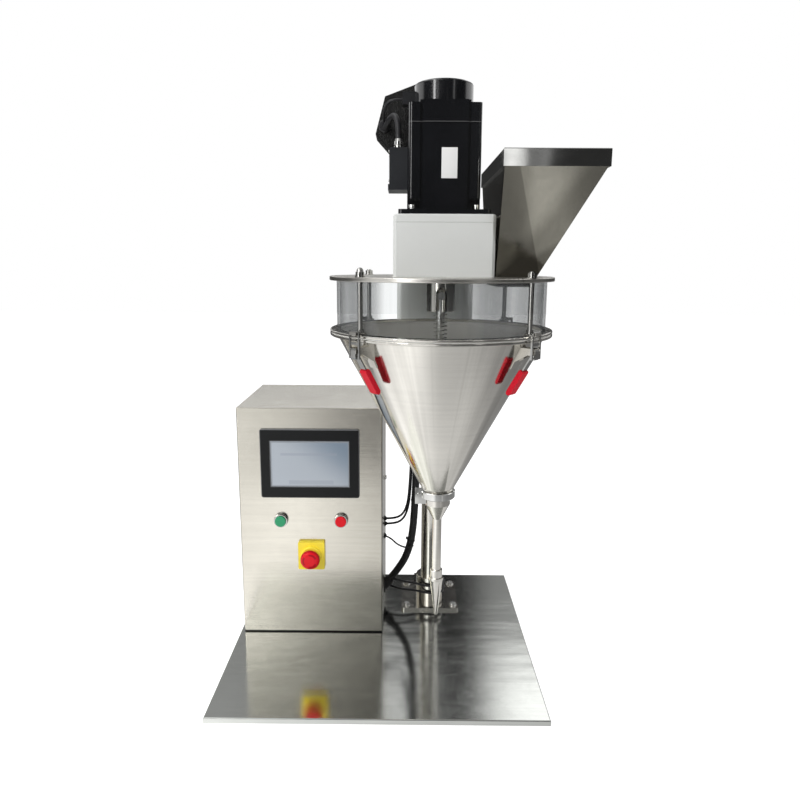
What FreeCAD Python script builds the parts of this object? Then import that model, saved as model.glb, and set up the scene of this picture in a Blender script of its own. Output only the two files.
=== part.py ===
import FreeCAD, Part
import math
import os
import re
import Sketcher

# Bench-top auger powder filler: a folded tray carries a control box and a column, the column
# carries a bracket with the gearbox, servo motor, feed chute and clear drum, and four toggle
# latches hold the conical hopper under the drum.  The origin is the middle of the tray's footprint
# on the bench, +X to the right, +Y to the back, +Z up.  All lengths are millimetres.

Vector = FreeCAD.Vector
Rotation = FreeCAD.Rotation
Placement = FreeCAD.Placement

doc = FreeCAD.newDocument("powder_filler")
sheet = doc.addObject("Spreadsheet::Sheet", "dims")

sizes = {
    # tray
    "trayWidth": 608, "trayDepth": 532, "trayHeight": 10, "traySheet": 2, "trayLip": 14,
    "stiffenerWidth": 90, "stiffenerFlange": 22, "stiffenerGap": 0.5,
    # control box
    "boxWidth": 297, "boxDepth": 252, "boxHeight": 494, "boxLeftGap": 8, "boxBackGap": 11,
    "boxSheet": 1.5, "boxReturn": 16, "boxFold": 3, "doorSheet": 1.5,
    # operator panel
    "panelWidth": 203, "panelHeight": 146, "panelProud": 6, "panelLift": 388,
    "panelBodyWidth": 191, "panelBodyHeight": 137, "panelBodyDepth": 34, "panelEdge": 2.5,
    "screenWidth": 161, "screenHeight": 97, "screenSink": 1.2, "screenGlass": 2.5,
    # push buttons and emergency stop
    "buttonSpread": 62.5, "buttonLift": 265.5, "buttonHole": 22.4, "buttonRimRadius": 14.8,
    "buttonRimProud": 9, "buttonCapRadius": 11.4, "buttonCapProud": 12, "buttonTravel": 4,
    "buttonBarrelRadius": 11, "buttonBarrelDepth": 30, "slideGap": 0.2,
    "stopLift": 189, "stopPlateWidth": 55, "stopPlateHeight": 60, "stopPlateThick": 9,
    "stopCollarRadius": 21.5, "stopCollarProud": 15, "stopStemRadius": 9, "stopHeadRadius": 20,
    "stopHeadThick": 15, "stopHeadGap": 5.5,
    # column
    "axisX": 107, "axisY": -133, "columnBehind": 290, "footSize": 130, "footThick": 6,
    "socketRadius": 30.5, "socketHeight": 54, "columnRadius": 20, "columnWall": 3,
    "columnAboveBracket": 6,
    # bracket between column and gearbox
    "bracketHalf": 78, "bracketRise": 80, "bracketDrop": 92, "bracketLegGap": 8, "bracketBack": 42,
    "bracketFillet": 10, "bracketSlit": 4, "bracketCableHole": 16, "cableWayDepth": 30, "columnFit": 0.05,
    # cover, clear drum and ring
    "rimRadius": 192, "coverThick": 7, "drumRadius": 180, "drumWall": 5, "drumHeight": 82,
    "sealThick": 1, "seatDepth": 2, "seatGap": 0.4, "ringThick": 4.4, "rimRound": 1.5, "rimInset": 1,
    "hopperFlangeThick": 5, "ringTopLift": 672,
    # hopper cone and ferrule
    "coneTopRadius": 180, "coneWall": 2, "coneDrop": 289, "coneFootRadius": 26.5, "ferruleRadius": 29,
    "ferruleThick": 5, "clampBandRadius": 32, "clampLip": 1, "clampSheet": 1.5,
    "clampEarReach": 39, "clampEarHalf": 5, "clampSplit": 3, "clampGap": 0.1,
    # spout and nozzle
    "spoutTopRadius": 23.4, "spoutNeck": 15.5, "spoutFunnelDrop": 29.5, "spoutRadius": 8.4,
    "spoutBore": 7.2, "spoutTubeLength": 115, "collarRadius": 11.3, "collarLength": 15.5,
    "collarSeat": 1.5, "lipRadius": 13.4, "lipLength": 5, "nozzleLength": 72.5,
    "nozzleTopRadius": 12.6, "nozzleTipRadius": 3, "nozzleTipBore": 2, "nozzleTipLength": 4,
    # auger and drive hub
    "hubRadius": 24.7, "hubLength": 54, "hubTopGap": 1, "neckHoleGap": 1.5, "hubNeckRadius": 15,
    "hubNeckRise": 60, "hubSlotWidth": 18.8, "hubSlotRise": 42,
    "augerHeadRadius": 9.2, "augerCoreRadius": 7.5, "augerFlightRadius": 12.3,
    "augerFlightPitch": 7, "augerFlightLength": 77, "augerFlightThick": 2.6, "augerStart": 3,
    "screwRadius": 6.8, "screwCoreRadius": 3.4, "screwPitch": 13, "screwThick": 2,
    "pinRadius": 4, "pinHeadRadius": 8, "pinLift": 27, "turnGap": 0.05,
    # gearbox
    "gearHalfWidth": 82, "gearHalfDepth": 77, "gearHeight": 86.5, "gearLidThick": 12.5,
    "gearChamfer": 5, "lidChamfer": 2, "seamChamfer": 1,
    # motor
    "motorFlangeHalf": 74, "motorFlangeThick": 7.5, "motorHalf": 59.5, "motorLength": 168,
    "motorPanelHalf": 36, "motorGroove": 4, "motorGrooveDepth": 4, "motorCornerRound": 6,
    "motorNotch": 20.5, "motorNotchRise": 18, "motorCapRadius": 48.5, "motorCapHeight": 34.5,
    "motorCapRound": 3, "motorCornerDrop": 4,
    # terminal box and connectors on the motor
    "terminalDepth": 30, "terminalWidth": 56, "terminalHeight": 58, "terminalLift": 43,
    "terminalLidThick": 9, "terminalLidProud": 2, "glandRadius": 8, "glandHeight": 18,
    "plugReach": 20, "plugWidth": 20, "plugHeight": 20, "plugLift": 3,
    # shroud behind the motor
    "shroudFront": 78, "shroudDepth": 62, "shroudSheet": 1.5, "grommetRadius": 11,
    "grommetThick": 6, "grommetX": 100, "grommetRise": 181, "shroudFootHalf": 50,
    "shroudRightRise": 228, "shroudTopX": 30, "shroudTopRise": 253, "shroudShoulderX": 99.6,
    "shroudShoulderRise": 231, "shroudTipX": 116.4, "shroudTipRise": 168, "shroudWaistRise": 95,
    # feed chute
    "chuteInner": 86.5, "chuteFootWidth": 67, "chuteFootFront": 56, "chuteFootDepth": 126,
    "chuteTopWidth": 157, "chuteTopFront": 117, "chuteTopDepth": 282, "chuteRise": 168,
    "chuteCollar": 23, "chuteSheet": 2, "spigotDrop": 9, "spigotGap": 0.3,
    "lidSheet": 1.5, "lidSkirt": 25, "lidGap": 0.8,
    # tie rods and latches
    "rodCircle": 186, "rodRadius": 4, "rodHoleGap": 0.15, "nutRadius": 6.8, "nutHeight": 6.5,
    "jamNutHeight": 4.8, "jamNutRadius": 5.6,
    "washerRadius": 7.6, "washerThick": 1.4, "domeHeight": 7, "rodStub": 2, "rodAngle": 45,
    "latchCircle": 198, "latchPinDrop": 24, "latchThrow": 9, "latchBailLength": 39,
    "latchRodRadius": 1.5, "leverHalf": 5.5, "earGap": 0.4, "earThick": 1.6, "bailLegGap": 1.5,
    "bailLegWidth": 3, "bailWebLift": 19, "bailWebHeight": 4, "leverLean": 32, "leverThick": 2.4,
    "gripStart": 37, "gripLength": 49, "gripHalfWidth": 8, "gripThick": 9, "keeperHalf": 7.5, "keeperSheet": 3,
    "keeperLip": 2, "keeperSeat": 4.2, "gripFit": 0.05, "mountTop": 8, "earFoot": 34,
    "mountFoot": 44,
    # cables
    "bundleRadius": 8.5, "powerCableRadius": 5, "signalCableRadius": 2.2, "leadRadius": 2.5,
    "bundleX": -32, "bundleY": 246, "bundleHigh": 460, "bundleMiddle": 330, "bundleLow": 210,
    "bundleKnee": 150, "bundleReach": 66, "ductGap": 0.3, "leadHigh": 213, "leadLow": 196,
    "leadBack": 277, "leadGap": 0.3, "inletRadius": 17, "inletThick": 3, "inletLift": 48,
    "inletBack": 271, "bootRadius": 11.5, "bootLength": 22, "bootLean": 51, "bootSeat": 11.5,
    "cableFit": 0.05,
}

for row, (alias, value) in enumerate(sizes.items(), 1):
    sheet.set(f"A{row}", alias)
    sheet.set(f"B{row}", str(value))
    sheet.setAlias(f"B{row}", alias)
doc.recompute()


def sized(text):
    """Turns an expression in alias names into one that FreeCAD reads from the sheet."""
    return re.sub(r"\b[a-z]+[A-Z]\w*", lambda match: "dims." + match.group(0), text)


def num(text):
    return float(sheet.evalExpression(sized(text)))


def place(piece, x="0", y="0", z="0", angle="0"):
    piece.Placement = Placement(Vector(num(x), num(y), num(z)), Rotation(Vector(0, 0, 1), num(angle)))
    for axis, text in zip("xyz", (x, y, z)):
        piece.setExpression(f".Placement.Base.{axis}", sized(text))
    return piece


def newBody(label, x="0", y="0", z="0", angle="0"):
    body = doc.addObject("PartDesign::Body", label)
    body.Label = label
    return place(body, x, y, z, angle)


def newSketch(body, name, role, lift):
    sketch = body.newObject("Sketcher::SketchObject", body.Label + "_" + name)
    plane = [item for item in body.Origin.OriginFeatures if item.Role == role][0]
    sketch.AttachmentSupport = [(plane, "")]
    sketch.MapMode = "FlatFace"
    sketch.AttachmentOffset = Placement(Vector(0, 0, num(lift)), Rotation())
    sketch.setExpression("AttachmentOffset.Base.z", sized(lift))
    return sketch


def outline(body, name, role, corners, lift="0"):
    """A closed outline whose corners are each bound to the sheet."""
    sketch = newSketch(body, name, role, lift)
    spots = [Vector(num(x), num(y), 0) for x, y in corners]
    count = len(corners)
    for index in range(count):
        sketch.addGeometry(Part.LineSegment(spots[index], spots[(index + 1) % count]))
    for index in range(count):
        sketch.addConstraint(Sketcher.Constraint("Coincident", index, 2, (index + 1) % count, 1))
    for index, (x, y) in enumerate(corners):
        for kind, text in (("DistanceX", x), ("DistanceY", y)):
            row = sketch.addConstraint(Sketcher.Constraint(kind, -1, 1, index, 1, num(text)))
            sketch.setExpression(f"Constraints[{row}]", sized(text))
    return sketch


def ring(body, name, role, circles, lift="0"):
    """Circles given as (x, y, radius), each bound to the sheet."""
    sketch = newSketch(body, name, role, lift)
    for index, (x, y, radius) in enumerate(circles):
        middle = Vector(num(x), num(y), 0)
        sketch.addGeometry(Part.Circle(middle, Vector(0, 0, 1), num(radius)))
        rows = [
            (Sketcher.Constraint("DistanceX", -1, 1, index, 3, num(x)), x),
            (Sketcher.Constraint("DistanceY", -1, 1, index, 3, num(y)), y),
            (Sketcher.Constraint("Radius", index, num(radius)), radius),
        ]
        for constraint, text in rows:
            row = sketch.addConstraint(constraint)
            sketch.setExpression(f"Constraints[{row}]", sized(text))
    return sketch


def extrude(body, name, sketch, length, cut=False, flip=False, middle=False):
    kind = "PartDesign::Pocket" if cut else "PartDesign::Pad"
    feature = body.newObject(kind, body.Label + "_" + name)
    feature.Profile = sketch
    feature.setExpression("Length", sized(length))
    feature.Reversed = flip
    feature.Midplane = middle
    doc.recompute()
    return feature


def turn(body, name, corners, cut=False):
    """A profile of (radius, height) corners turned about the body's Z axis."""
    sketch = outline(body, name + "_profile", "XZ_Plane", corners)
    kind = "PartDesign::Groove" if cut else "PartDesign::Revolution"
    feature = body.newObject(kind, body.Label + "_" + name)
    feature.Profile = sketch
    feature.ReferenceAxis = (sketch, ["V_Axis"])
    feature.Angle = 360
    doc.recompute()
    return feature


def block(body, name, x0, x1, y0, y1, z0, z1, cut=False):
    """A box between two corners; x, y and z limits are expressions."""
    corners = [(x0, y0), (x1, y0), (x1, y1), (x0, y1)]
    sketch = outline(body, name + "_outline", "XY_Plane", corners, z0)
    return extrude(body, name, sketch, f"({z1}) - ({z0})", cut, flip=cut)


def dress(body, name, kind, size, pick):
    """Rounds or chamfers the edges of the tip that pick accepts."""
    tip = body.Tip
    edges = [f"Edge{index}" for index, edge in enumerate(tip.Shape.Edges, 1) if pick(edge)]
    feature = body.newObject("PartDesign::" + kind, body.Label + "_" + name)
    feature.Base = (tip, edges)
    feature.setExpression("Radius" if kind == "Fillet" else "Size", sized(size))
    doc.recompute()
    return feature


def around(body, name, features, count, axis="Z_Axis"):
    pattern = body.newObject("PartDesign::PolarPattern", body.Label + "_" + name)
    pattern.Originals = features
    line = [item for item in body.Origin.OriginFeatures if item.Role == axis][0]
    pattern.Axis = (line, [""])
    pattern.Angle = 360
    pattern.Occurrences = count
    body.Tip = pattern
    doc.recompute()
    return pattern


def straight(edge, axis):
    """True for a straight edge along the axis."""
    if edge.Curve.TypeId != "Part::GeomLine":
        return False
    return abs(abs(edge.tangentAt(edge.FirstParameter).dot(axis)) - 1) < 1e-6


def near(value, target):
    return abs(value - target) < 0.01


def level(edge, height):
    """True for an edge that lies flat at a height."""
    return near(edge.BoundBox.ZMin, num(height)) and near(edge.BoundBox.ZMax, num(height))


east, north, up = Vector(1, 0, 0), Vector(0, 1, 0), Vector(0, 0, 1)

# Heights and places that several pieces share, as expressions in the aliases.
boxX = "(boxLeftGap + boxWidth / 2 - trayWidth / 2)"
boxFrontY = "(trayDepth / 2 - boxBackGap - boxDepth)"
columnY = "(axisY + columnBehind)"
ringTop = "(trayHeight + ringTopLift)"
ringLow = f"({ringTop} - ringThick)"
flangeTop = f"({ringLow} - sealThick)"
flangeLow = f"({flangeTop} - hopperFlangeThick)"
coverLow = f"({ringTop} + drumHeight)"
coverTop = f"({coverLow} + coverThick)"
coneFoot = f"({flangeLow} - coneDrop)"
coneSlope = "((coneTopRadius - coneFootRadius) / coneDrop)"
spoutTop = f"({coneFoot} - ferruleThick)"
spoutTubeTop = f"({spoutTop} - ferruleThick - spoutNeck - spoutFunnelDrop)"
spoutLow = f"({spoutTubeTop} - spoutTubeLength)"
nozzleTop = f"({spoutLow} - collarSeat + collarLength)"
nozzleTip = f"({nozzleTop} - collarLength - lipLength - nozzleLength)"
pinZ = f"({ringTop} - latchPinDrop)"
hubLow = f"({coverLow} - hubLength)"
gearTop = f"({coverTop} + gearHeight + gearLidThick)"
motorLow = f"({gearTop} + motorFlangeThick)"
motorTop = f"({motorLow} + motorLength)"


def makeTray():
    body = newBody("base_tray")
    block(body, "sheet", "-trayWidth / 2", "trayWidth / 2", "-trayDepth / 2", "trayDepth / 2", "0",
          "trayHeight")
    inX, inY = "(trayWidth / 2 - traySheet)", "(trayDepth / 2 - traySheet)"
    block(body, "hollow", "-" + inX, inX, "-" + inY, inY, "traySheet", "trayHeight - traySheet", cut=True)
    lipX, lipY = "(trayWidth / 2 - trayLip)", "(trayDepth / 2 - trayLip)"
    block(body, "opening", "-" + lipX, lipX, "-" + lipY, lipY, "0", "traySheet * 1.5", cut=True)
    dress(body, "folds", "Fillet", "traySheet",
          lambda edge: level(edge, "trayHeight"))


def makeStiffener():
    body = newBody("base_stiffener", x="trayLip + stiffenerGap - trayWidth / 2")
    half, wing = "(stiffenerWidth / 2)", "(stiffenerWidth / 2 + stiffenerFlange)"
    top, web = "(trayHeight - traySheet)", "traySheet"
    corners = [
        ("-" + half, "0"), (half, "0"), (half, f"{top} - {web}"), (wing, f"{top} - {web}"), (wing, top),
        (f"{half} - {web}", top), (f"{half} - {web}", web), (f"{web} - {half}", web), (f"{web} - {half}", top),
        ("-" + wing, top), ("-" + wing, f"{top} - {web}"), ("-" + half, f"{top} - {web}"),
    ]
    sketch = outline(body, "hat", "YZ_Plane", corners)
    extrude(body, "run", sketch, "trayWidth - 2 * (trayLip + stiffenerGap)")


def makeBox():
    body = newBody("control_box_shell", x=boxX, y=boxFrontY, z="trayHeight")
    half, wall = "(boxWidth / 2)", "boxSheet"
    block(body, "fold", "-" + half, half, "0", "boxDepth", "0", "boxHeight")
    dress(body, "corners", "Fillet", "boxFold",
          lambda edge: straight(edge, up) and near(edge.CenterOfMass.y, 0))
    dress(body, "brow", "Fillet", "boxFold / 2",
          lambda edge: near(edge.BoundBox.ZMin, num("boxHeight")) and near(edge.BoundBox.YMin, 0)
          and near(edge.BoundBox.YMax, 0))
    block(body, "hollow", f"{wall} - {half}", f"{half} - {wall}", wall, f"boxDepth - {wall}",
          wall, f"boxHeight - {wall}", cut=True)
    block(body, "back_opening", f"boxReturn - {half}", f"{half} - boxReturn", "boxDepth / 2", "boxDepth + 1",
          "boxReturn", "boxHeight - boxReturn", cut=True)
    mid = "(panelLift - trayHeight)"
    window = [(f"-panelBodyWidth / 2 - seatGap", f"{mid} - panelBodyHeight / 2 - seatGap"),
              (f"panelBodyWidth / 2 + seatGap", f"{mid} - panelBodyHeight / 2 - seatGap"),
              (f"panelBodyWidth / 2 + seatGap", f"{mid} + panelBodyHeight / 2 + seatGap"),
              (f"-panelBodyWidth / 2 - seatGap", f"{mid} + panelBodyHeight / 2 + seatGap")]
    sketch = outline(body, "window", "XZ_Plane", window, "boxSheet")
    extrude(body, "window_cut", sketch, "4 * boxSheet", cut=True, middle=True)
    rows = [("-buttonSpread", "buttonLift - trayHeight", "buttonHole / 2"),
            ("buttonSpread", "buttonLift - trayHeight", "buttonHole / 2"),
            ("0", "stopLift - trayHeight", "buttonHole / 2")]
    sketch = ring(body, "holes", "XZ_Plane", rows, "boxSheet")
    extrude(body, "holes_cut", sketch, "4 * boxSheet", cut=True, middle=True)

    door = newBody("box_rear_door", x=boxX, y=boxFrontY, z="trayHeight")
    inset = "(boxReturn / 2)"
    block(door, "sheet", f"{inset} - {half}", f"{half} - {inset}", "boxDepth", "boxDepth + doorSheet",
          inset, f"boxHeight - {inset}")


def makePanel():
    bezel = newBody("hmi_bezel", x=boxX, y=boxFrontY, z="panelLift")
    block(bezel, "frame", "-panelWidth / 2", "panelWidth / 2", "-panelProud", "0",
          "-panelHeight / 2", "panelHeight / 2")
    dress(bezel, "corners", "Fillet", "2 * panelEdge", lambda edge: straight(edge, north))
    dress(bezel, "bevel", "Chamfer", "panelEdge",
          lambda edge: near(edge.BoundBox.YMin, -num("panelProud")) and near(edge.BoundBox.YMax, -num("panelProud")))
    block(bezel, "case", "-panelBodyWidth / 2", "panelBodyWidth / 2", "0", "panelBodyDepth",
          "-panelBodyHeight / 2", "panelBodyHeight / 2")
    block(bezel, "screen_seat", "-screenWidth / 2", "screenWidth / 2", "-panelProud",
          "screenSink + screenGlass - panelProud", "-screenHeight / 2", "screenHeight / 2", cut=True)
    screen = newBody("hmi_screen", x=boxX, y=boxFrontY, z="panelLift")
    block(screen, "glass", "slideGap - screenWidth / 2", "screenWidth / 2 - slideGap",
          "screenSink - panelProud",
          "screenSink + screenGlass - panelProud", "slideGap - screenHeight / 2", "screenHeight / 2 - slideGap")


def frontTurn(body, name, corners, cut=False):
    """A profile of (radius, distance in front) turned about the body's Y axis."""
    sketch = outline(body, name + "_profile", "XY_Plane", [(r, f"-({d})") for r, d in corners])
    kind = "PartDesign::Groove" if cut else "PartDesign::Revolution"
    feature = body.newObject(kind, body.Label + "_" + name)
    feature.Profile = sketch
    feature.ReferenceAxis = (sketch, ["V_Axis"])
    feature.Angle = 360
    doc.recompute()
    return feature


def makeButton(label, side):
    x, z = f"{boxX} + ({side}) * buttonSpread", "buttonLift"
    bore = "(buttonCapRadius + slideGap)"
    rim = newBody(label + "_rim", x=x, y=boxFrontY, z=z)
    frontTurn(rim, "rim", [
        (bore, "0"), ("buttonRimRadius", "0"), ("buttonRimRadius", "buttonRimProud * 0.45"),
        ("buttonRimRadius - 1.2", "buttonRimProud"), (bore, "buttonRimProud")])
    cap = newBody(label + "_cap", x=x, y=boxFrontY, z=z)
    frontTurn(cap, "cap", [
        ("0", "-buttonBarrelDepth"), ("buttonBarrelRadius - slideGap", "-buttonBarrelDepth"),
        ("buttonBarrelRadius - slideGap", "buttonTravel + 0.5"),
        ("buttonCapRadius", "buttonTravel + 0.5"), ("buttonCapRadius", "buttonCapProud - 0.8"),
        ("buttonCapRadius - 0.8", "buttonCapProud"), ("0", "buttonCapProud")])


def makeStop():
    base = newBody("estop_guard", x=boxX, y=boxFrontY, z="stopLift")
    block(base, "plate", "-stopPlateWidth / 2", "stopPlateWidth / 2", "-stopPlateThick", "0",
          "-stopPlateHeight / 2", "stopPlateHeight / 2")
    dress(base, "corners", "Fillet", "3", lambda edge: straight(edge, north))
    frontTurn(base, "collar", [
        ("0", "stopPlateThick / 2"), ("stopCollarRadius", "stopPlateThick / 2"),
        ("stopCollarRadius", "stopCollarProud - 2"), ("stopCollarRadius - 2", "stopCollarProud"),
        ("0", "stopCollarProud")])
    frontTurn(base, "bore", [("0", "-1"), ("stopStemRadius + slideGap", "-1"),
                             ("stopStemRadius + slideGap", "stopCollarProud + 1"), ("0", "stopCollarProud + 1")],
              cut=True)
    stem = newBody("estop_stem", x=boxX, y=boxFrontY, z="stopLift")
    frontTurn(stem, "stem", [("0", "-buttonBarrelDepth"), ("stopStemRadius", "-buttonBarrelDepth"),
                             ("stopStemRadius", "stopCollarProud + stopHeadGap"),
                             ("0", "stopCollarProud + stopHeadGap")])
    head = newBody("estop_head", x=boxX, y=boxFrontY, z="stopLift")
    front = "(stopCollarProud + stopHeadGap)"
    frontTurn(head, "mushroom", [
        ("0", front), ("stopHeadRadius * 0.6", front), ("stopHeadRadius - 2", f"{front} + 1.5"),
        ("stopHeadRadius", f"{front} + 4"), ("stopHeadRadius", f"{front} + stopHeadThick * 0.55"),
        ("stopHeadRadius - 1.5", f"{front} + stopHeadThick * 0.78"),
        ("stopHeadRadius - 5", f"{front} + stopHeadThick * 0.93"),
        ("stopHeadRadius * 0.5", f"{front} + stopHeadThick"), ("0", f"{front} + stopHeadThick")])


def makeColumn():
    foot = newBody("column_foot", x="axisX", y=columnY, z="trayHeight")
    half = "(footSize / 2)"
    block(foot, "plate", "-" + half, half, "-" + half, half, "0", "footThick")
    dress(foot, "corners", "Fillet", "footThick", lambda edge: straight(edge, up))
    bore = "(columnRadius + columnFit)"
    turn(foot, "socket", [(bore, "footThick / 2"), ("socketRadius", "footThick / 2"),
                          ("socketRadius", "footThick + socketHeight - 1"),
                          ("socketRadius - 1", "footThick + socketHeight"), (bore, "footThick + socketHeight")])
    tube = newBody("column_tube", x="axisX", y=columnY, z="trayHeight + footThick")
    length = f"({coverTop} + bracketRise + columnAboveBracket - trayHeight - footThick)"
    inner = "(columnRadius - columnWall)"
    turn(tube, "wall", [(inner, "0"), ("columnRadius", "0"), ("columnRadius", f"{length} - 1"),
                        ("columnRadius - 1", length), ("0", length), ("0", f"{length} - columnWall"),
                        (inner, f"{length} - columnWall")])


def makeBracket():
    body = newBody("head_bracket", x="axisX", y="axisY", z=coverTop)
    leg = "(rimRadius + bracketLegGap)"
    back = "(columnBehind + bracketBack)"
    corners = [("gearHalfDepth", "0"), (leg, "0"), (leg, "-bracketDrop"), (back, "-bracketDrop"),
               (back, "bracketRise"), ("gearHalfDepth", "bracketRise")]
    sketch = outline(body, "side", "YZ_Plane", corners)
    extrude(body, "width", sketch, "2 * bracketHalf", middle=True)
    dress(body, "rounds", "Fillet", "bracketFillet",
          lambda edge: straight(edge, up) and edge.CenterOfMass.y > num(leg) - 1)
    sketch = ring(body, "bore", "XY_Plane", [("0", "columnBehind", "columnRadius + columnFit")],
                  "-bracketDrop - 1")
    extrude(body, "bore_cut", sketch, "bracketDrop + bracketRise + 2", cut=True, flip=True)
    sketch = ring(body, "cable_way", "XY_Plane", [("bundleX", "bundleY", "bracketCableHole")],
                  "-bracketDrop - 1")
    extrude(body, "cable_way_cut", sketch, "cableWayDepth + 1", cut=True, flip=True)
    block(body, "slit", "-bracketSlit / 2", "bracketSlit / 2", "columnBehind", f"{back} + 1",
          "-bracketDrop - 1", "bracketRise + 1", cut=True)


def makeCover():
    body = newBody("cover_plate", x="axisX", y="axisY", z=coverLow)
    turn(body, "disc", [("hubNeckRadius + neckHoleGap", "0"), ("rimRadius", "0"), ("rimRadius", "coverThick"),
                        ("hubNeckRadius + neckHoleGap", "coverThick")])
    dress(body, "rim", "Fillet", "rimRound", lambda edge: near(edge.BoundBox.XMax, num("rimRadius"))
          and edge.BoundBox.ZLength < 0.01)
    turn(body, "seat", [("drumRadius - drumWall - seatGap", "-1"), ("drumRadius + seatGap", "-1"),
                        ("drumRadius + seatGap", "seatDepth"), ("drumRadius - drumWall - seatGap", "seatDepth")],
         cut=True)
    reach = "(rodCircle * cos(rodAngle))"
    holes = [(f"{sx} * {reach}", f"{sy} * {reach}", "rodRadius + rodHoleGap")
             for sx, sy in ((1, 1), (-1, 1), (-1, -1), (1, -1))]
    sketch = ring(body, "rod_holes", "XY_Plane", holes, "-1")
    extrude(body, "rod_holes_cut", sketch, "coverThick + 2", cut=True, flip=True)
    edge0 = "(chuteInner + chuteSheet - spigotGap)"
    edge1 = "(chuteInner + chuteFootWidth - chuteSheet + spigotGap)"
    block(body, "feed_hole", edge0, edge1, "chuteSheet - spigotGap - chuteFootFront",
          "chuteFootDepth - chuteFootFront - chuteSheet + spigotGap", "-1", "coverThick + 1", cut=True)

    drum = newBody("clear_drum", x="axisX", y="axisY", z=ringTop)
    turn(drum, "wall", [("drumRadius - drumWall", "-seatDepth"), ("drumRadius", "-seatDepth"),
                        ("drumRadius", "drumHeight + seatDepth"), ("drumRadius - drumWall", "drumHeight + seatDepth")])


def makeRing():
    body = newBody("drum_ring", x="axisX", y="axisY", z=ringLow, angle="rodAngle")
    inner = "(drumRadius - drumWall - rimInset)"
    turn(body, "band", [(inner, "0"), ("rimRadius", "0"), ("rimRadius", "ringThick"), (inner, "ringThick")])
    dress(body, "rim", "Fillet", "rimRound", lambda edge: near(edge.BoundBox.XMax, num("rimRadius"))
          and edge.BoundBox.ZLength < 0.01)
    turn(body, "seat", [("drumRadius - drumWall - seatGap", "ringThick - seatDepth"),
                        ("drumRadius + seatGap", "ringThick - seatDepth"), ("drumRadius + seatGap", "ringThick + 1"),
                        ("drumRadius - drumWall - seatGap", "ringThick + 1")], cut=True)
    seat = "(ringThick + keeperSeat)"
    lip = "(latchCircle + latchRodRadius + 2 * earGap)"
    corners = [("drumRadius + rimInset", "ringThick / 2"), ("rimRadius - rimRound", "ringThick / 2"),
               ("rimRadius - rimRound", f"{seat} - keeperSheet"), (f"{lip} + keeperLip", f"{seat} - keeperSheet"),
               (f"{lip} + keeperLip", f"{seat} + keeperLip"), (lip, f"{seat} + keeperLip"), (lip, seat),
               ("drumRadius + rimInset", seat)]
    sketch = outline(body, "keeper_side", "XZ_Plane", corners)
    keeper = extrude(body, "keeper", sketch, "2 * keeperHalf", middle=True)
    sketch = ring(body, "rod_hole", "XY_Plane", [("rodCircle", "0", "rodRadius + rodHoleGap")], "-1")
    hole = extrude(body, "rod_hole_cut", sketch, f"{seat} + 2", cut=True, flip=True)
    around(body, "keepers", [keeper, hole], 4)
    seal = newBody("hopper_seal", x="axisX", y="axisY", z=flangeTop)
    turn(seal, "band", [(inner, "0"), ("rimRadius - rimRound", "0"), ("rimRadius - rimRound", "sealThick"),
                        (inner, "sealThick")])


def makeHopper():
    body = newBody("hopper_cone", x="axisX", y="axisY", z=flangeLow, angle="rodAngle")
    side = f"(coneWall * sqrt(1 + {coneSlope} ^ 2))"
    turn(body, "shell", [
        (f"coneFootRadius - {side}", "-coneDrop - ferruleThick"), ("ferruleRadius", "-coneDrop - ferruleThick"),
        ("ferruleRadius", "-coneDrop"), ("coneFootRadius", "-coneDrop"), ("coneTopRadius", "0"),
        ("rimRadius", "0"), ("rimRadius", "hopperFlangeThick"), (f"coneTopRadius - {side}", "hopperFlangeThick"),
        (f"coneTopRadius - {side}", "0"), (f"coneFootRadius - {side}", "-coneDrop")])
    dress(body, "rim", "Fillet", "rimRound", lambda edge: near(edge.BoundBox.XMax, num("rimRadius"))
          and edge.BoundBox.ZLength < 0.01)

    def wallAt(drop):
        return f"(coneTopRadius - {coneSlope} * ({drop}))"

    pin = f"({pinZ} - {flangeLow})"
    ears = [(f"{wallAt('mountTop')} - coneWall / 2", "-mountTop"), ("latchCircle", f"{pin} + 5.6"),
            ("latchCircle + 4", f"{pin} + 3"), ("latchCircle + 4", f"{pin} - 3"), ("latchCircle", f"{pin} - 5.2"),
            ("latchCircle - 10", f"{pin} - 5.2"), (f"{wallAt('earFoot')} - coneWall / 2", "-earFoot")]
    parts = []
    for name, side_sign in (("ear_a", 1), ("ear_b", -1)):
        place_y = "(leverHalf + earGap + earThick)" if side_sign > 0 else "-(leverHalf + earGap)"
        sketch = outline(body, name + "_side", "XZ_Plane", ears, place_y)
        parts.append(extrude(body, name, sketch, "earThick", flip=True))
    corners = [(f"{wallAt('mountTop')} - coneWall / 2", "-mountTop"),
               (f"{wallAt('mountTop')} + earThick", "-mountTop"),
               (f"{wallAt('mountFoot')} + earThick", "-mountFoot"),
               (f"{wallAt('mountFoot')} - coneWall / 2", "-mountFoot")]
    sketch = outline(body, "latch_plate_side", "XZ_Plane", corners)
    parts.append(extrude(body, "latch_plate", sketch, "2 * (leverHalf + earGap + earThick)", middle=True))
    sketch = ring(body, "pin_hole", "XZ_Plane", [("latchCircle", pin, "latchRodRadius + turnGap")])
    parts.append(extrude(body, "pin_hole_cut", sketch, "4 * gripHalfWidth", cut=True, middle=True))
    around(body, "latch_mounts", parts, 4)


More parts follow.
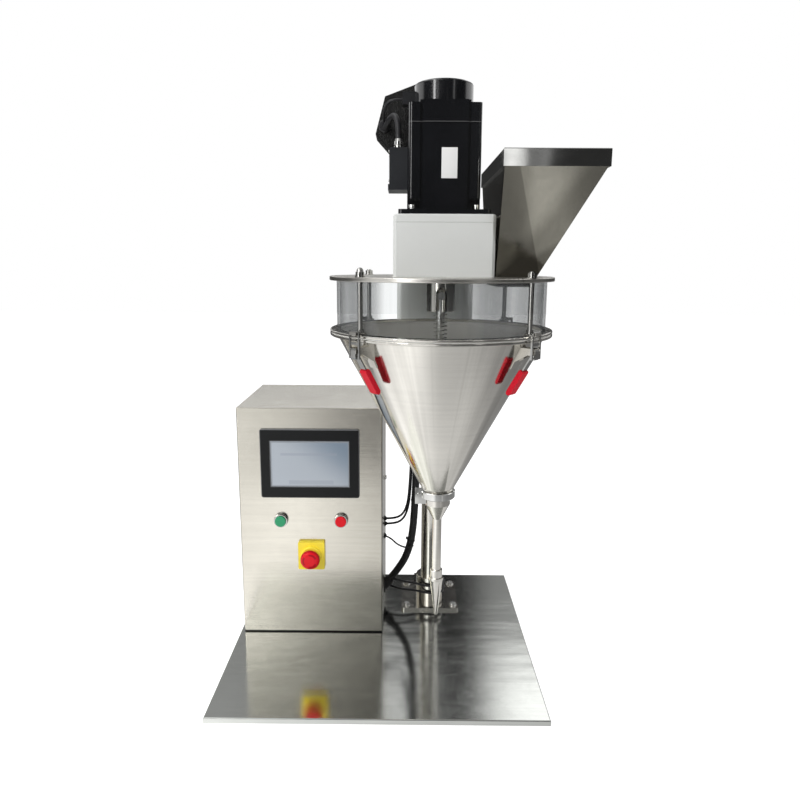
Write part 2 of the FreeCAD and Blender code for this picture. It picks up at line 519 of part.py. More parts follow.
def makeRods():
    for index, name in enumerate(("front_left", "front_right", "back_right", "back_left")):
        turnBy = f"(180 + rodAngle + 90 * {index})"
        x = f"axisX + rodCircle * cos({turnBy})"
        y = f"axisY + rodCircle * sin({turnBy})"
        body = newBody("tie_rod_" + name, x=x, y=y, z=ringLow)
        top = f"({coverTop} - {ringLow})"
        keeperTop = "(ringThick + keeperSeat)"
        nutTop = f"({top} + washerThick + nutHeight)"
        corners = [("0", "0"), ("rodRadius", "0"), ("rodRadius", keeperTop), ("jamNutRadius", keeperTop),
                   ("jamNutRadius", f"{keeperTop} + jamNutHeight"), ("rodRadius", f"{keeperTop} + jamNutHeight"),
                   ("rodRadius", top), ("washerRadius", top), ("washerRadius", f"{top} + washerThick"),
                   ("nutRadius", f"{top} + washerThick"), ("nutRadius", nutTop)]
        if name == "front_left":
            corners += [("nutRadius * 0.86", nutTop), ("nutRadius * 0.72", f"{nutTop} + domeHeight * 0.6"),
                        ("nutRadius * 0.4", f"{nutTop} + domeHeight * 0.9"), ("0", f"{nutTop} + domeHeight")]
        else:
            corners += [("rodRadius", nutTop), ("rodRadius", f"{nutTop} + rodStub"),
                        ("0", f"{nutTop} + rodStub")]
        turn(body, "rod", corners)


def makeLatch(name, index):
    turnBy = f"(180 + rodAngle + 90 * {index})"
    lever = newBody("latch_lever_" + name, x="axisX", y="axisY", z=pinZ, angle=turnBy)
    lean, run = "sin(leverLean)", "cos(leverLean)"
    end = "(gripStart + gripLength - 4)"

    def along(distance, across):
        return (f"latchCircle - ({distance}) * {lean} + ({across}) * {run}",
                f"-({distance}) * {run} - ({across}) * {lean}")

    tang = "(leverThick / 2)"
    corners = [along("14", tang), along(end, tang), along(end, "-" + tang), along("10", "-" + tang),
               ("latchCircle - 4.4", "2.4"), ("latchCircle - 2", "4.4"), ("latchCircle + 2", "4.4"),
               ("latchCircle + 3.6", "1.6"), ("latchCircle + 3.2", "-latchThrow - 1.6"),
               ("latchCircle + 1", "-latchThrow - 3.4"), ("latchCircle - 2.4", "-latchThrow - 3.2")]
    sketch = outline(lever, "side", "XZ_Plane", corners)
    extrude(lever, "plate", sketch, "2 * leverHalf", middle=True)
    sketch = ring(lever, "bail_hole", "XZ_Plane", [("latchCircle", "-latchThrow", "latchRodRadius + turnGap")])
    extrude(lever, "bail_hole_cut", sketch, "4 * leverHalf", cut=True, middle=True)
    sketch = ring(lever, "pin", "XZ_Plane", [("latchCircle", "0", "latchRodRadius")])
    extrude(lever, "pin_run", sketch, "2 * (leverHalf + earGap + earThick)", middle=True)

    grip = newBody("latch_grip_" + name, x="axisX", y="axisY", z=pinZ, angle=turnBy)
    start, stop = "gripStart", "(gripStart + gripLength)"
    half = "(gripThick / 2)"
    corners = [along(start, f"{half} * 0.75"), along(f"{start} + 3", half), along(f"{stop} - 4", half),
               along(stop, f"{half} * 0.5"), along(stop, f"-{half} * 0.5"), along(f"{stop} - 4", "-" + half),
               along(f"{start} + 3", "-" + half), along(start, f"-{half} * 0.75")]
    sketch = outline(grip, "side", "XZ_Plane", corners)
    extrude(grip, "sleeve", sketch, "2 * gripHalfWidth", middle=True)
    lip = "(leverThick / 2 + gripFit)"
    corners = [along(f"{start} - 1", lip), along(f"{end} + gripFit", lip), along(f"{end} + gripFit", "-" + lip),
               along(f"{start} - 1", "-" + lip)]
    sketch = outline(grip, "socket_side", "XZ_Plane", corners)
    extrude(grip, "socket", sketch, "2 * (leverHalf + gripFit)", cut=True, middle=True)

    bail = newBody("latch_bail_" + name, x="axisX", y="axisY", z=f"{pinZ} - latchThrow", angle=turnBy)
    inside = "(leverHalf + earGap + earThick + bailLegGap)"
    outside = f"({inside} + bailLegWidth)"
    rod = "latchRodRadius"
    for leg, sign in (("leg_a", 1), ("leg_b", -1)):
        lift = outside if sign > 0 else f"-{inside}"
        corners = [(f"latchCircle - {rod}", f"-{rod} - 1"), (f"latchCircle + {rod}", f"-{rod} - 1"),
                   (f"latchCircle + {rod}", f"latchBailLength + {rod}"),
                   (f"latchCircle - {rod}", f"latchBailLength + {rod}")]
        sketch = outline(bail, leg + "_side", "XZ_Plane", corners, lift)
        extrude(bail, leg, sketch, "bailLegWidth", flip=True)
        if sign > 0:
            sketch = ring(bail, "rods", "XZ_Plane", [("latchCircle", "0", rod),
                                                     ("latchCircle", "latchBailLength", rod)])
            extrude(bail, "rods_run", sketch, f"2 * {outside}", middle=True)
    block(bail, "web", f"latchCircle - {rod} / 2", f"latchCircle + {rod} / 2", "-" + outside, outside,
          "bailWebLift", "bailWebLift + bailWebHeight")


def makeSpout():
    band = newBody("ferrule_clamp", x="axisX", y="axisY", z=spoutTop)
    inner = "(ferruleRadius + clampGap)"
    lip = "(ferruleRadius - clampLip)"
    half, over = "(ferruleThick + clampGap)", "(ferruleThick + clampGap + clampSheet)"
    turn(band, "band", [(lip, "-" + over), ("clampBandRadius - 1", "-" + over),
                        ("clampBandRadius", f"1 - {over}"),
                        ("clampBandRadius", f"{over} - 1"), ("clampBandRadius - 1", over), (lip, over), (lip, half),
                        (inner, half), (inner, "-" + half), (lip, "-" + half)])
    block(band, "ear", "-clampEarReach", f"-{inner} - 1", "-clampEarHalf", "clampEarHalf", "-" + over, over)
    block(band, "split", "-clampEarReach - 1", f"-{lip} + 1", "-clampSplit / 2", "clampSplit / 2",
          f"-{over} - 1", f"{over} + 1", cut=True)

    spout = newBody("spout_tube", x="axisX", y="axisY", z=spoutTop)
    wall = "(spoutRadius - spoutBore)"
    neck, foot = "(ferruleThick + spoutNeck)", "(ferruleThick + spoutNeck + spoutFunnelDrop)"
    low = f"({foot} + spoutTubeLength)"
    turn(spout, "shell", [
        ("ferruleRadius", "0"), ("ferruleRadius", "-ferruleThick"), ("spoutTopRadius", "-ferruleThick"),
        ("spoutTopRadius", "-" + neck), ("spoutRadius", "-" + foot), ("spoutRadius", "-" + low),
        ("spoutBore", "-" + low), ("spoutBore", "-" + foot), (f"spoutTopRadius - 1.5 * {wall}", "-" + neck),
        (f"spoutTopRadius - 1.5 * {wall}", "0")])

    nozzle = newBody("fill_nozzle", x="axisX", y="axisY", z=nozzleTop)
    seat = "(collarLength - collarSeat)"
    under = "(collarLength + lipLength)"
    tip = f"({under} + nozzleLength)"
    turn(nozzle, "body", [
        ("spoutRadius + turnGap", "0"), ("collarRadius - 0.6", "0"), ("collarRadius", "-0.6"),
        ("collarRadius", "-collarLength"), ("lipRadius", "-collarLength"), ("lipRadius", "-" + under),
        ("nozzleTopRadius", "-" + under), ("nozzleTipRadius", "-" + tip), ("nozzleTipBore", "-" + tip),
        ("nozzleTipBore", f"nozzleTipLength - {tip}"), ("spoutBore", "-" + under), ("spoutBore", "-" + seat),
        ("spoutRadius + turnGap", "-" + seat)])


def helix(body, name, corners, pitch, height):
    """A flight swept down along a helix from a (radius, height) outline."""
    sketch = outline(body, name + "_section", "XZ_Plane", corners)
    feature = body.newObject("PartDesign::AdditiveHelix", body.Label + "_" + name)
    feature.Profile = sketch
    feature.ReferenceAxis = (sketch, ["V_Axis"])
    feature.Mode = "pitch-height-angle"
    feature.setExpression("Pitch", sized(pitch))
    feature.setExpression("Height", sized(height))
    feature.Reversed = True
    doc.recompute()
    return feature


def makeAuger():
    hub = newBody("drive_hub", x="axisX", y="axisY", z=hubLow)
    top = "(hubLength - hubTopGap)"
    neck = "(hubLength + coverThick + hubNeckRise)"
    turn(hub, "hub", [("0", "0"), ("hubRadius - 1", "0"), ("hubRadius", "1"), ("hubRadius", f"{top} - 1"),
                      ("hubRadius - 1", top), ("hubNeckRadius", top), ("hubNeckRadius", neck), ("0", neck)])
    half = "(hubSlotWidth / 2)"
    block(hub, "slot", "-" + half, half, "-hubRadius - 1", half, "-1", f"hubSlotRise - {half}", cut=True)
    sketch = ring(hub, "slot_end", "XZ_Plane", [("0", f"hubSlotRise - {half}", half)], "hubRadius + 1")
    extrude(hub, "slot_end_cut", sketch, f"hubRadius + 1 + {half}", cut=True)
    sketch = ring(hub, "pin_hole", "XZ_Plane", [("0", "pinLift", "pinRadius + turnGap")])
    extrude(hub, "pin_hole_cut", sketch, "hubRadius + 1", cut=True)

    pin = newBody("drive_pin", x="axisX", y="axisY", z=f"{hubLow} + pinLift")
    frontTurn(pin, "pin", [("0", "-hubRadius + 1"), ("pinRadius", "-hubRadius + 1"),
                           ("pinRadius", "augerHeadRadius + turnGap"), ("pinHeadRadius", "augerHeadRadius + turnGap"),
                           ("pinHeadRadius", "augerHeadRadius + 3"), ("pinHeadRadius - 1", "augerHeadRadius + 4"),
                           ("0", "augerHeadRadius + 4")])

    screw = newBody("auger_screw", x="axisX", y="axisY", z=hubLow)
    coneLow = f"({coneFoot} - {hubLow})"
    low = f"({spoutLow} - {hubLow})"
    shoulder = "(-augerStart - augerFlightLength - augerFlightPitch)"
    turn(screw, "core", [
        ("0", f"{low} + 1"), ("screwCoreRadius", f"{low} + 1"), ("screwCoreRadius", coneLow),
        ("augerCoreRadius", shoulder), ("augerCoreRadius", "-augerStart"), ("augerHeadRadius", "-augerStart"),
        ("augerHeadRadius", f"hubSlotRise - {half}"), ("augerHeadRadius * 0.7", "hubSlotRise - 3.5"),
        ("0", "hubSlotRise - 1")])
    sketch = ring(screw, "pin_hole", "XZ_Plane", [("0", "pinLift", "pinRadius + turnGap")])
    extrude(screw, "pin_hole_cut", sketch, "4 * augerHeadRadius", cut=True, middle=True)
    helix(screw, "feed_flight", [
        ("augerCoreRadius - 0.4", "-augerStart - augerFlightThick"), ("augerCoreRadius - 0.4", "-augerStart - 0.2"),
        ("augerFlightRadius", "-augerStart - augerFlightThick * 0.3"),
        ("augerFlightRadius",
         "-augerStart - augerFlightThick * 0.75")], "augerFlightPitch", "augerFlightLength")
    top = f"({spoutTop} - ferruleThick - {hubLow})"
    helix(screw, "metering_flight", [
        ("screwCoreRadius - 0.4", f"{top} - screwThick"), ("screwCoreRadius - 0.4", top),
        ("screwRadius", f"{top} - screwThick * 0.25"), ("screwRadius", f"{top} - screwThick * 0.75")],
        "screwPitch", f"{top} - {low} - screwThick - 2")


def makeGearbox():
    housing = newBody("gearbox_housing", x="axisX", y="axisY", z=coverTop)
    block(housing, "case", "-gearHalfWidth", "gearHalfWidth", "-gearHalfDepth", "gearHalfDepth", "0",
          "gearHeight")
    dress(housing, "corners", "Chamfer", "gearChamfer", lambda edge: straight(edge, up))
    dress(housing, "seam", "Chamfer", "seamChamfer",
          lambda edge: level(edge, "gearHeight"))
    turn(housing, "bearing_bore", [("0", "-1"), ("hubNeckRadius + turnGap", "-1"),
                                   ("hubNeckRadius + turnGap", "hubNeckRise + 2"), ("0", "hubNeckRise + 2")], cut=True)
    lid = newBody("gearbox_lid", x="axisX", y="axisY", z=f"{coverTop} + gearHeight")
    block(lid, "plate", "-gearHalfWidth", "gearHalfWidth", "-gearHalfDepth", "gearHalfDepth", "0",
          "gearLidThick")
    dress(lid, "corners", "Chamfer", "gearChamfer", lambda edge: straight(edge, up))
    dress(lid, "top_edge", "Chamfer", "lidChamfer",
          lambda edge: level(edge, "gearLidThick"))


def quarterTurned(corners):
    """The corners of one quarter repeated by quarter turns about the axis."""
    whole = list(corners)
    for _ in range(3):
        corners = [(f"-({y})", x) for x, y in corners]
        whole += corners
    return whole


def makeMotor():
    body = newBody("servo_motor", x="axisX", y="axisY", z=gearTop)
    half = "motorFlangeHalf"
    block(body, "flange", "-" + half, half, "-" + half, half, "0", "motorFlangeThick")
    dress(body, "flange_corners", "Fillet", "motorCornerRound", lambda edge: straight(edge, up))
    side, panel, groove = "motorHalf", "motorPanelHalf", "(motorPanelHalf + motorGroove)"
    sunk, column = "(motorHalf - motorGrooveDepth)", "(motorHalf - 1.5)"
    corners = [(panel, "-" + side), (panel, "-" + sunk), (groove, "-" + sunk), (groove, "-" + column),
               (column, "-" + column), (column, "-" + groove), (sunk, "-" + groove), (sunk, "-" + panel),
               (side, "-" + panel)]
    sketch = outline(body, "section", "XY_Plane", quarterTurned(corners), "motorFlangeThick")
    extrude(body, "case", sketch, "motorLength")
    reach = num(column)
    dress(body, "columns", "Fillet", "motorCornerRound",
          lambda edge: straight(edge, up) and near(abs(edge.CenterOfMass.x), reach)
          and near(abs(edge.CenterOfMass.y), reach))
    low = "(motorHalf - motorNotch)"
    top = "(motorFlangeThick + motorLength)"
    block(body, "screw_room", low, "motorHalf + 1", low, "motorHalf + 1", "motorFlangeThick",
          "motorFlangeThick + motorNotchRise", cut=True)
    notch = body.Tip
    block(body, "column_top", groove, "motorHalf + 1", groove, "motorHalf + 1", f"{top} - motorCornerDrop",
          f"{top} + 1", cut=True)
    around(body, "corners", [notch, body.Tip], 4)
    cap = newBody("motor_rear_cap", x="axisX", y="axisY", z=motorTop)
    turn(cap, "cap", [("0", "0"), ("motorCapRadius", "0"), ("motorCapRadius", "motorCapHeight"),
                      ("0", "motorCapHeight")])
    dress(cap, "edge", "Fillet", "motorCapRound", lambda edge: near(edge.BoundBox.ZMin, num("motorCapHeight")))


def makeMotorBoxes():
    x = "axisX - motorHalf"
    box = newBody("terminal_box", x=x, y="axisY", z=f"{motorLow} + terminalLift")
    block(box, "case", "-terminalDepth", "0", "-terminalWidth / 2", "terminalWidth / 2", "0", "terminalHeight")
    dress(box, "edges", "Fillet", "2",
          lambda edge: straight(edge, north) and near(edge.CenterOfMass.x, -num("terminalDepth")))
    block(box, "skirt", "-terminalDepth - terminalLidProud", "0", "-terminalWidth / 2 - terminalLidProud",
          "terminalWidth / 2 + terminalLidProud", "-terminalLidThick", "0")
    gland = newBody("terminal_gland", x=f"{x} - terminalDepth / 2", y="axisY",
                    z=f"{motorLow} + terminalLift + terminalHeight")
    turn(gland, "gland", [("0", "0"), ("glandRadius", "0"), ("glandRadius", "glandHeight * 0.35"),
                          ("glandRadius - 1.5", "glandHeight * 0.35"), ("glandRadius - 0.8", "glandHeight * 0.45"),
                          ("glandRadius - 0.8", "glandHeight * 0.75"), ("powerCableRadius + 0.6", "glandHeight"),
                          ("0", "glandHeight")])
    plug = newBody("encoder_plug", x="axisX", y="axisY", z=f"{motorTop} + plugLift")
    block(plug, "shell", "-motorCapRadius - plugReach", "-motorCapRadius + 4", "-plugWidth / 2",
          "plugWidth / 2",
          "0", "plugHeight")
    turn(plug, "seat", [("0", "-1"), ("motorCapRadius + turnGap", "-1"),
                        ("motorCapRadius + turnGap", "plugHeight + 1"),
                        ("0", "plugHeight + 1")], cut=True)


def makeShroud():
    body = newBody("motor_shroud", x="axisX", y="axisY + shroudFront", z=f"{coverTop} + bracketRise")
    corners = [("-shroudFootHalf", "0"), ("shroudFootHalf", "0"), ("shroudFootHalf", "shroudRightRise"),
               ("shroudTopX", "shroudTopRise"), ("-shroudTopX - 10", "shroudTopRise"),
               ("-shroudShoulderX", "shroudShoulderRise"), ("-shroudTipX", "shroudTipRise"),
               ("-shroudFootHalf", "shroudWaistRise")]
    sketch = outline(body, "front", "XZ_Plane", corners)
    extrude(body, "case", sketch, "shroudDepth", flip=True)
    case = body.Tip
    back = [f"Face{index}" for index, face in enumerate(case.Shape.Faces, 1)
            if near(face.BoundBox.YMin, num("shroudDepth")) and near(face.BoundBox.YMax, num("shroudDepth"))]
    sheetWall = body.newObject("PartDesign::Thickness", "motor_shroud_wall")
    sheetWall.Base = (case, back)
    sheetWall.setExpression("Value", "dims.shroudSheet")
    sheetWall.Reversed = True
    sheetWall.Join = "Intersection"
    doc.recompute()
    sketch = ring(body, "grommet_hole", "XZ_Plane", [("-grommetX", "grommetRise", "grommetRadius - 2")], "1")
    extrude(body, "grommet_cut", sketch, "shroudSheet + 2", cut=True)
    grommet = newBody("shroud_grommet", x="axisX - grommetX", y="axisY + shroudFront",
                      z=f"{coverTop} + bracketRise + grommetRise")
    frontTurn(grommet, "ring", [
        ("0", "-shroudSheet - 2"), ("grommetRadius - 2.1", "-shroudSheet - 2"), ("grommetRadius - 2.1", "0"),
        ("grommetRadius", "0"), ("grommetRadius", "grommetThick - 2"), ("grommetRadius - 2", "grommetThick"),
        ("0", "grommetThick")])


def makeChute():
    body = newBody("feed_chute", x="axisX", y="axisY", z=coverTop)

    def mouth(x0, width, front, depth, inset):
        x1, y0, y1 = f"{x0} + {width} - {inset}", f"{inset} - {front}", f"{depth} - {front} - {inset}"
        return [(f"{x0} + {inset}", y0), (x1, y0), (x1, y1), (f"{x0} + {inset}", y1)]

    foot = ("chuteInner", "chuteFootWidth", "chuteFootFront", "chuteFootDepth")
    top = ("chuteInner", "chuteTopWidth", "chuteTopFront", "chuteTopDepth")
    for name, kind, low, high in (("flare", "AdditiveLoft", "0", "0"),
                                  ("inside", "SubtractiveLoft", "(2 * chuteSheet)", "chuteSheet")):
        first = outline(body, name + "_foot", "XY_Plane", mouth(*foot, low))
        second = outline(body, name + "_top", "XY_Plane", mouth(*top, high), "chuteRise")
        if kind == "AdditiveLoft":
            loft = body.newObject("PartDesign::AdditiveLoft", "feed_chute_" + name)
            loft.Profile = first
            loft.Sections = [second]
            loft.Ruled = True
            doc.recompute()
            collar = outline(body, "collar", "XY_Plane", mouth(*top, "0"), "chuteRise")
            extrude(body, "collar_wall", collar, "chuteCollar")
            spigot = outline(body, "spigot", "XY_Plane", mouth(*foot, "chuteSheet"), "-coverThick - spigotDrop")
            extrude(body, "spigot_wall", spigot, "coverThick + spigotDrop")
        else:
            loft = body.newObject("PartDesign::SubtractiveLoft", "feed_chute_" + name)
            loft.Profile = first
            loft.Sections = [second]
            loft.Ruled = True
            doc.recompute()
            collar = outline(body, "collar_inside", "XY_Plane", mouth(*top, "chuteSheet"), "chuteRise")
            extrude(body, "collar_bore", collar, "chuteCollar + 1", cut=True, flip=True)
            spigot = outline(body, "spigot_inside", "XY_Plane", mouth(*foot, "(2 * chuteSheet)"),
                             "-coverThick - spigotDrop - 1")
            extrude(body, "spigot_bore", spigot, "coverThick + spigotDrop + 1", cut=True, flip=True)

    lid = newBody("chute_lid", x="axisX", y="axisY", z=f"{coverTop} + chuteRise + chuteCollar")
    grow = "-(lidGap + lidSheet)"
    outer = outline(lid, "outer", "XY_Plane", mouth(*top, grow), "-lidSkirt")
    extrude(lid, "cap", outer, "lidSkirt + lidSheet")
    inner = outline(lid, "inner", "XY_Plane", mouth(*top, "-(lidGap)"), "-lidSkirt - 1")
    extrude(lid, "hollow", inner, "lidSkirt + 1", cut=True, flip=True)
    dress(lid, "folds", "Fillet", "lidSheet", lambda edge: level(edge, "lidSheet"))


def tangentPath(points):
    """Straight runs joined by tangent arcs, each as large as its two runs allow."""
    edges = []
    radii = []
    start = points[0]
    for before, corner, after in zip(points, points[1:], points[2:]):
        into, out = (corner - before), (after - corner)
        turnAngle = into.getAngle(out)
        cut = 0.45 * min(into.Length, out.Length)
        into.normalize()
        out.normalize()
        first, last = corner - into * cut, corner + out * cut
        bulge = (out - into).normalize()
        radius = cut / math.tan(turnAngle / 2)
        middle = corner + bulge * (radius / math.cos(turnAngle / 2) - radius)
        edges += [Part.LineSegment(start, first).toShape(), Part.Arc(first, middle, last).toShape()]
        radii.append(round(radius, 1))
        start = last
    edges.append(Part.LineSegment(start, points[-1]).toShape())
    return Part.Wire(edges), radii


def makeCable(label, radiusName, route):
    """A round cable along hand-set (x, y, z) points measured from the auger axis at bench height."""
    origin = Vector(num("axisX"), num("axisY"), 0)
    points = [Vector(*point) for point in route]
    path, radii = tangentPath(points)
    start = (points[1] - points[0]).normalize()
    section = Part.Wire([Part.Circle(points[0], start, num(radiusName)).toShape()])
    solid = path.makePipeShell([section], True, False)
    cable = doc.addObject("Part::Feature", label)
    cable.Label = label
    cable.Shape = solid
    cable.Placement = Placement(origin, Rotation())
    expected = math.pi * num(radiusName) ** 2 * path.Length
    print(label, "radii", radii, "volume ratio", round(solid.Volume / expected, 4), "length",
          round(path.Length, 1))


def makeCables():
    inlet = newBody("cable_inlet", x=f"{boxX} + boxWidth / 2", y="axisY + inletBack", z="inletLift")
    lean = Rotation(north, 90 - num("bootLean"))
    along = lean.multVec(up)
    boot = inlet.newObject("PartDesign::AdditiveCylinder", "cable_inlet_boot")
    boot.setExpression("Radius", "dims.bootRadius")
    boot.setExpression("Height", "dims.bootLength")
    boot.Placement = Placement(Vector(), lean)
    sketch = ring(inlet, "disc", "YZ_Plane", [("0", "0", "inletRadius")])
    extrude(inlet, "flange", sketch, "inletThick")
    block(inlet, "wall_side", "-2 * inletRadius", "0", "-2 * inletRadius", "2 * inletRadius",
          "-2 * inletRadius", "2 * inletRadius", cut=True)
    bore = inlet.newObject("PartDesign::SubtractiveCylinder", "cable_inlet_bore")
    bore.setExpression("Radius", "dims.bundleRadius + dims.cableFit")
    bore.setExpression("Height", "dims.bootLength")
    bore.Placement = Placement(along * num("bootSeat - cableFit"), lean)
    doc.recompute()

    side = num(f"{boxX} + boxWidth / 2 - axisX")
    mouth = Vector(side, num("inletBack"), num("inletLift"))
    seat = mouth + along * num("bootSeat")
    reach = mouth + along * num("bundleReach")
    duct = num(f"{coverTop} - bracketDrop + cableWayDepth - ductGap")
    x, y = num("bundleX"), num("bundleY")
    makeCable("cable_bundle", "bundleRadius", [
        (x, y, duct), (x, y + 0.5, duct - 130), (x + 1, y + 2, num("bundleHigh")),
        (x - 2, y + 6, num("bundleMiddle")), (x - 6, y + 13, num("bundleLow")),
        (x - 14, y + 20, num("bundleKnee")), tuple(reach), tuple(seat)])
    start, back = side + num("leadGap"), num("leadBack")
    for label, lift, away, aside in (("sensor_lead_a", "leadHigh", -12, -3.5),
                                     ("sensor_lead_b", "leadLow", -10, 7)):
        height = num(lift)
        makeCable(label, "leadRadius", [
            (start, back + aside, height), (side + 22, back + aside, height),
            (side + 42, back + aside, height + 9), (x - 15 + away / 2, y + 26 + aside, height + 36),
            (x + away - 5, y + 13 + aside, height + 80), (x + away - 2, y + 6 + aside, height + 150),
            (x + away, y + 2.5 + aside, height + 270), (x + away, y + 0.5 + aside, height + 390),
            (x + away, y + aside, duct)])

    glandTop = num(f"{motorLow} + terminalLift + terminalHeight + glandHeight + cableFit")
    glandX = -num("motorHalf + terminalDepth / 2")
    front = num("shroudFront - grommetThick")
    hole = num(f"{coverTop} + bracketRise + grommetRise")
    holeX = -num("grommetX")
    makeCable("power_cable", "powerCableRadius", [
        (glandX, 0, glandTop), (glandX, 0, glandTop + 17.9), (glandX - 2.9, 8.4, glandTop + 33.4),
        (glandX - 8, 23, glandTop + 42.3), (glandX - 13.9, 39.8, glandTop + 42.3),
        (holeX + 4, 60, hole - 0.5), (holeX + 1, front + 2, hole - 4)])
    plugEnd = -num("motorCapRadius + plugReach + cableFit")
    plugZ = num(f"{motorTop} + plugLift + plugHeight / 2")
    makeCable("signal_cable", "signalCableRadius", [
        (plugEnd, 0, plugZ), (plugEnd - 15, 0, plugZ), (plugEnd - 26, 5, plugZ - 4.5),
        (holeX, 16, plugZ - 14), (holeX - 1, 33, hole + 9), (holeX - 1, 53, hole + 6),
        (holeX - 1, front + 2, hole + 6)])


makeTray()
makeStiffener()
makeBox()
makePanel()
makeButton("start_button", "-1")
makeButton("stop_button", "1")
makeStop()
makeColumn()
makeBracket()
makeCover()
makeRing()
makeHopper()
makeRods()
for place_index, corner in enumerate(("front_left", "front_right", "back_right", "back_left")):
    makeLatch(corner, place_index)
makeSpout()
makeAuger()
makeGearbox()
makeMotor()
makeMotorBoxes()
makeShroud()
makeChute()
makeCables()
doc.recompute()

for item in doc.Objects:
    if "Invalid" in item.State or "Error" in item.State:
        raise RuntimeError(f"{item.Label} did not build: {item.State}")
pieces = [item for item in doc.Objects if item.TypeId in ("PartDesign::Body", "Part::Feature")]
for piece in pieces:
    if piece.Shape.isNull() or not piece.Shape.isValid():
        raise RuntimeError(f"{piece.Label} has no valid shape")
os.makedirs("parts", exist_ok=True)
for piece in pieces:
    piece.Shape.exportStep(f"parts/{piece.Label}.step")
print(len(pieces), "pieces")
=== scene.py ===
import math

import bmesh
import bpy
from mathutils import Matrix, Vector


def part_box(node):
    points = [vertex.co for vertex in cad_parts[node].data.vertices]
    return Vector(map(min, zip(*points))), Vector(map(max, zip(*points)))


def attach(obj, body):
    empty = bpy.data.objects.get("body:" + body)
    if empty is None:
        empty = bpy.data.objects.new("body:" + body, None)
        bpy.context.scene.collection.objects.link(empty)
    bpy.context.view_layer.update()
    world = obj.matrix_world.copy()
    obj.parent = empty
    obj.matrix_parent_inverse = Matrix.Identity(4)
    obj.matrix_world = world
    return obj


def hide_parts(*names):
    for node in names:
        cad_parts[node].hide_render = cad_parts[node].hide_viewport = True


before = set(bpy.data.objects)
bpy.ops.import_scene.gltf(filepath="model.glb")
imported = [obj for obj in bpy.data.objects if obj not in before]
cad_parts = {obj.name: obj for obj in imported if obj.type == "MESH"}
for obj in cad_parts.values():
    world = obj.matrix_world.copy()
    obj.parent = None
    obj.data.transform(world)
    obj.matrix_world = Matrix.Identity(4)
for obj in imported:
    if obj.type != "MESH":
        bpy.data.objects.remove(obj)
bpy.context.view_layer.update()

scene = bpy.context.scene
scene.view_settings.view_transform = "Standard"


# camera, at a standing operator's eye height in front of the bench
eye = {"place": (0.0425, -1.2546, 0.7916), "tiltDown": 10.43, "turn": 0.29, "roll": 0.30,
       "lens": 28.76, "sensor": 36, "shiftDown": 0.0232}
cameraData = bpy.data.cameras.new("eye")
cameraData.lens = eye["lens"]
cameraData.sensor_width = eye["sensor"]
cameraData.shift_y = -eye["shiftDown"]
camera = bpy.data.objects.new("eye", cameraData)
camera.location = eye["place"]
looking = (Matrix.Rotation(math.radians(eye["turn"]), 4, "Z")
           @ Matrix.Rotation(math.radians(90 - eye["tiltDown"]), 4, "X")
           @ Matrix.Rotation(math.radians(eye["roll"]), 4, "Z"))
camera.rotation_euler = looking.to_euler()
scene.collection.objects.link(camera)
scene.camera = camera
print("camera placed")


axis = Vector((0.107, -0.133, 0))   # the auger's line
cordMesh = {"along": 10, "round": 4}


def route(name, look, points):
    # a smooth cable line; its points are metres from the auger's line
    data = bpy.data.curves.new(name, "CURVE")
    data.dimensions = "3D"
    line = data.splines.new("NURBS")
    line.points.add(len(points) - 1)
    for knot, (x, y, z) in zip(line.points, points):
        knot.co = (axis.x + x, axis.y + y, z, 1)
        knot.radius = look["radius"]   # kept on the points, because Blender adds it to the curve's box
    line.order_u = 3
    line.use_endpoint_u = True
    data.resolution_u = cordMesh["along"]
    data.bevel_depth = 1.0   # times the points' radius
    data.bevel_resolution = cordMesh["round"]
    data.use_fill_caps = True
    obj = bpy.data.objects.new(name, data)
    scene.collection.objects.link(obj)
    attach(obj, "frame")
    return obj


def leadPoints(height, away, aside):
    # a thin lead from the box's side across to the bundle, then up beside it
    side, y = -0.106, 0.277 + aside
    bundleX, bundleY, top = -0.032 + away, 0.246 + aside, 0.7087
    return ((side + 0.0003, y, height), (side + 0.022, y, height), (side + 0.042, y, height + 0.009),
            (bundleX - 0.015 - away / 2, bundleY + 0.026, height + 0.036),
            (bundleX - 0.005, bundleY + 0.013, height + 0.080),
            (bundleX - 0.002, bundleY + 0.006, height + 0.150), (bundleX, bundleY + 0.0025, height + 0.270),
            (bundleX, bundleY + 0.0005, height + 0.390), (bundleX, bundleY, top))


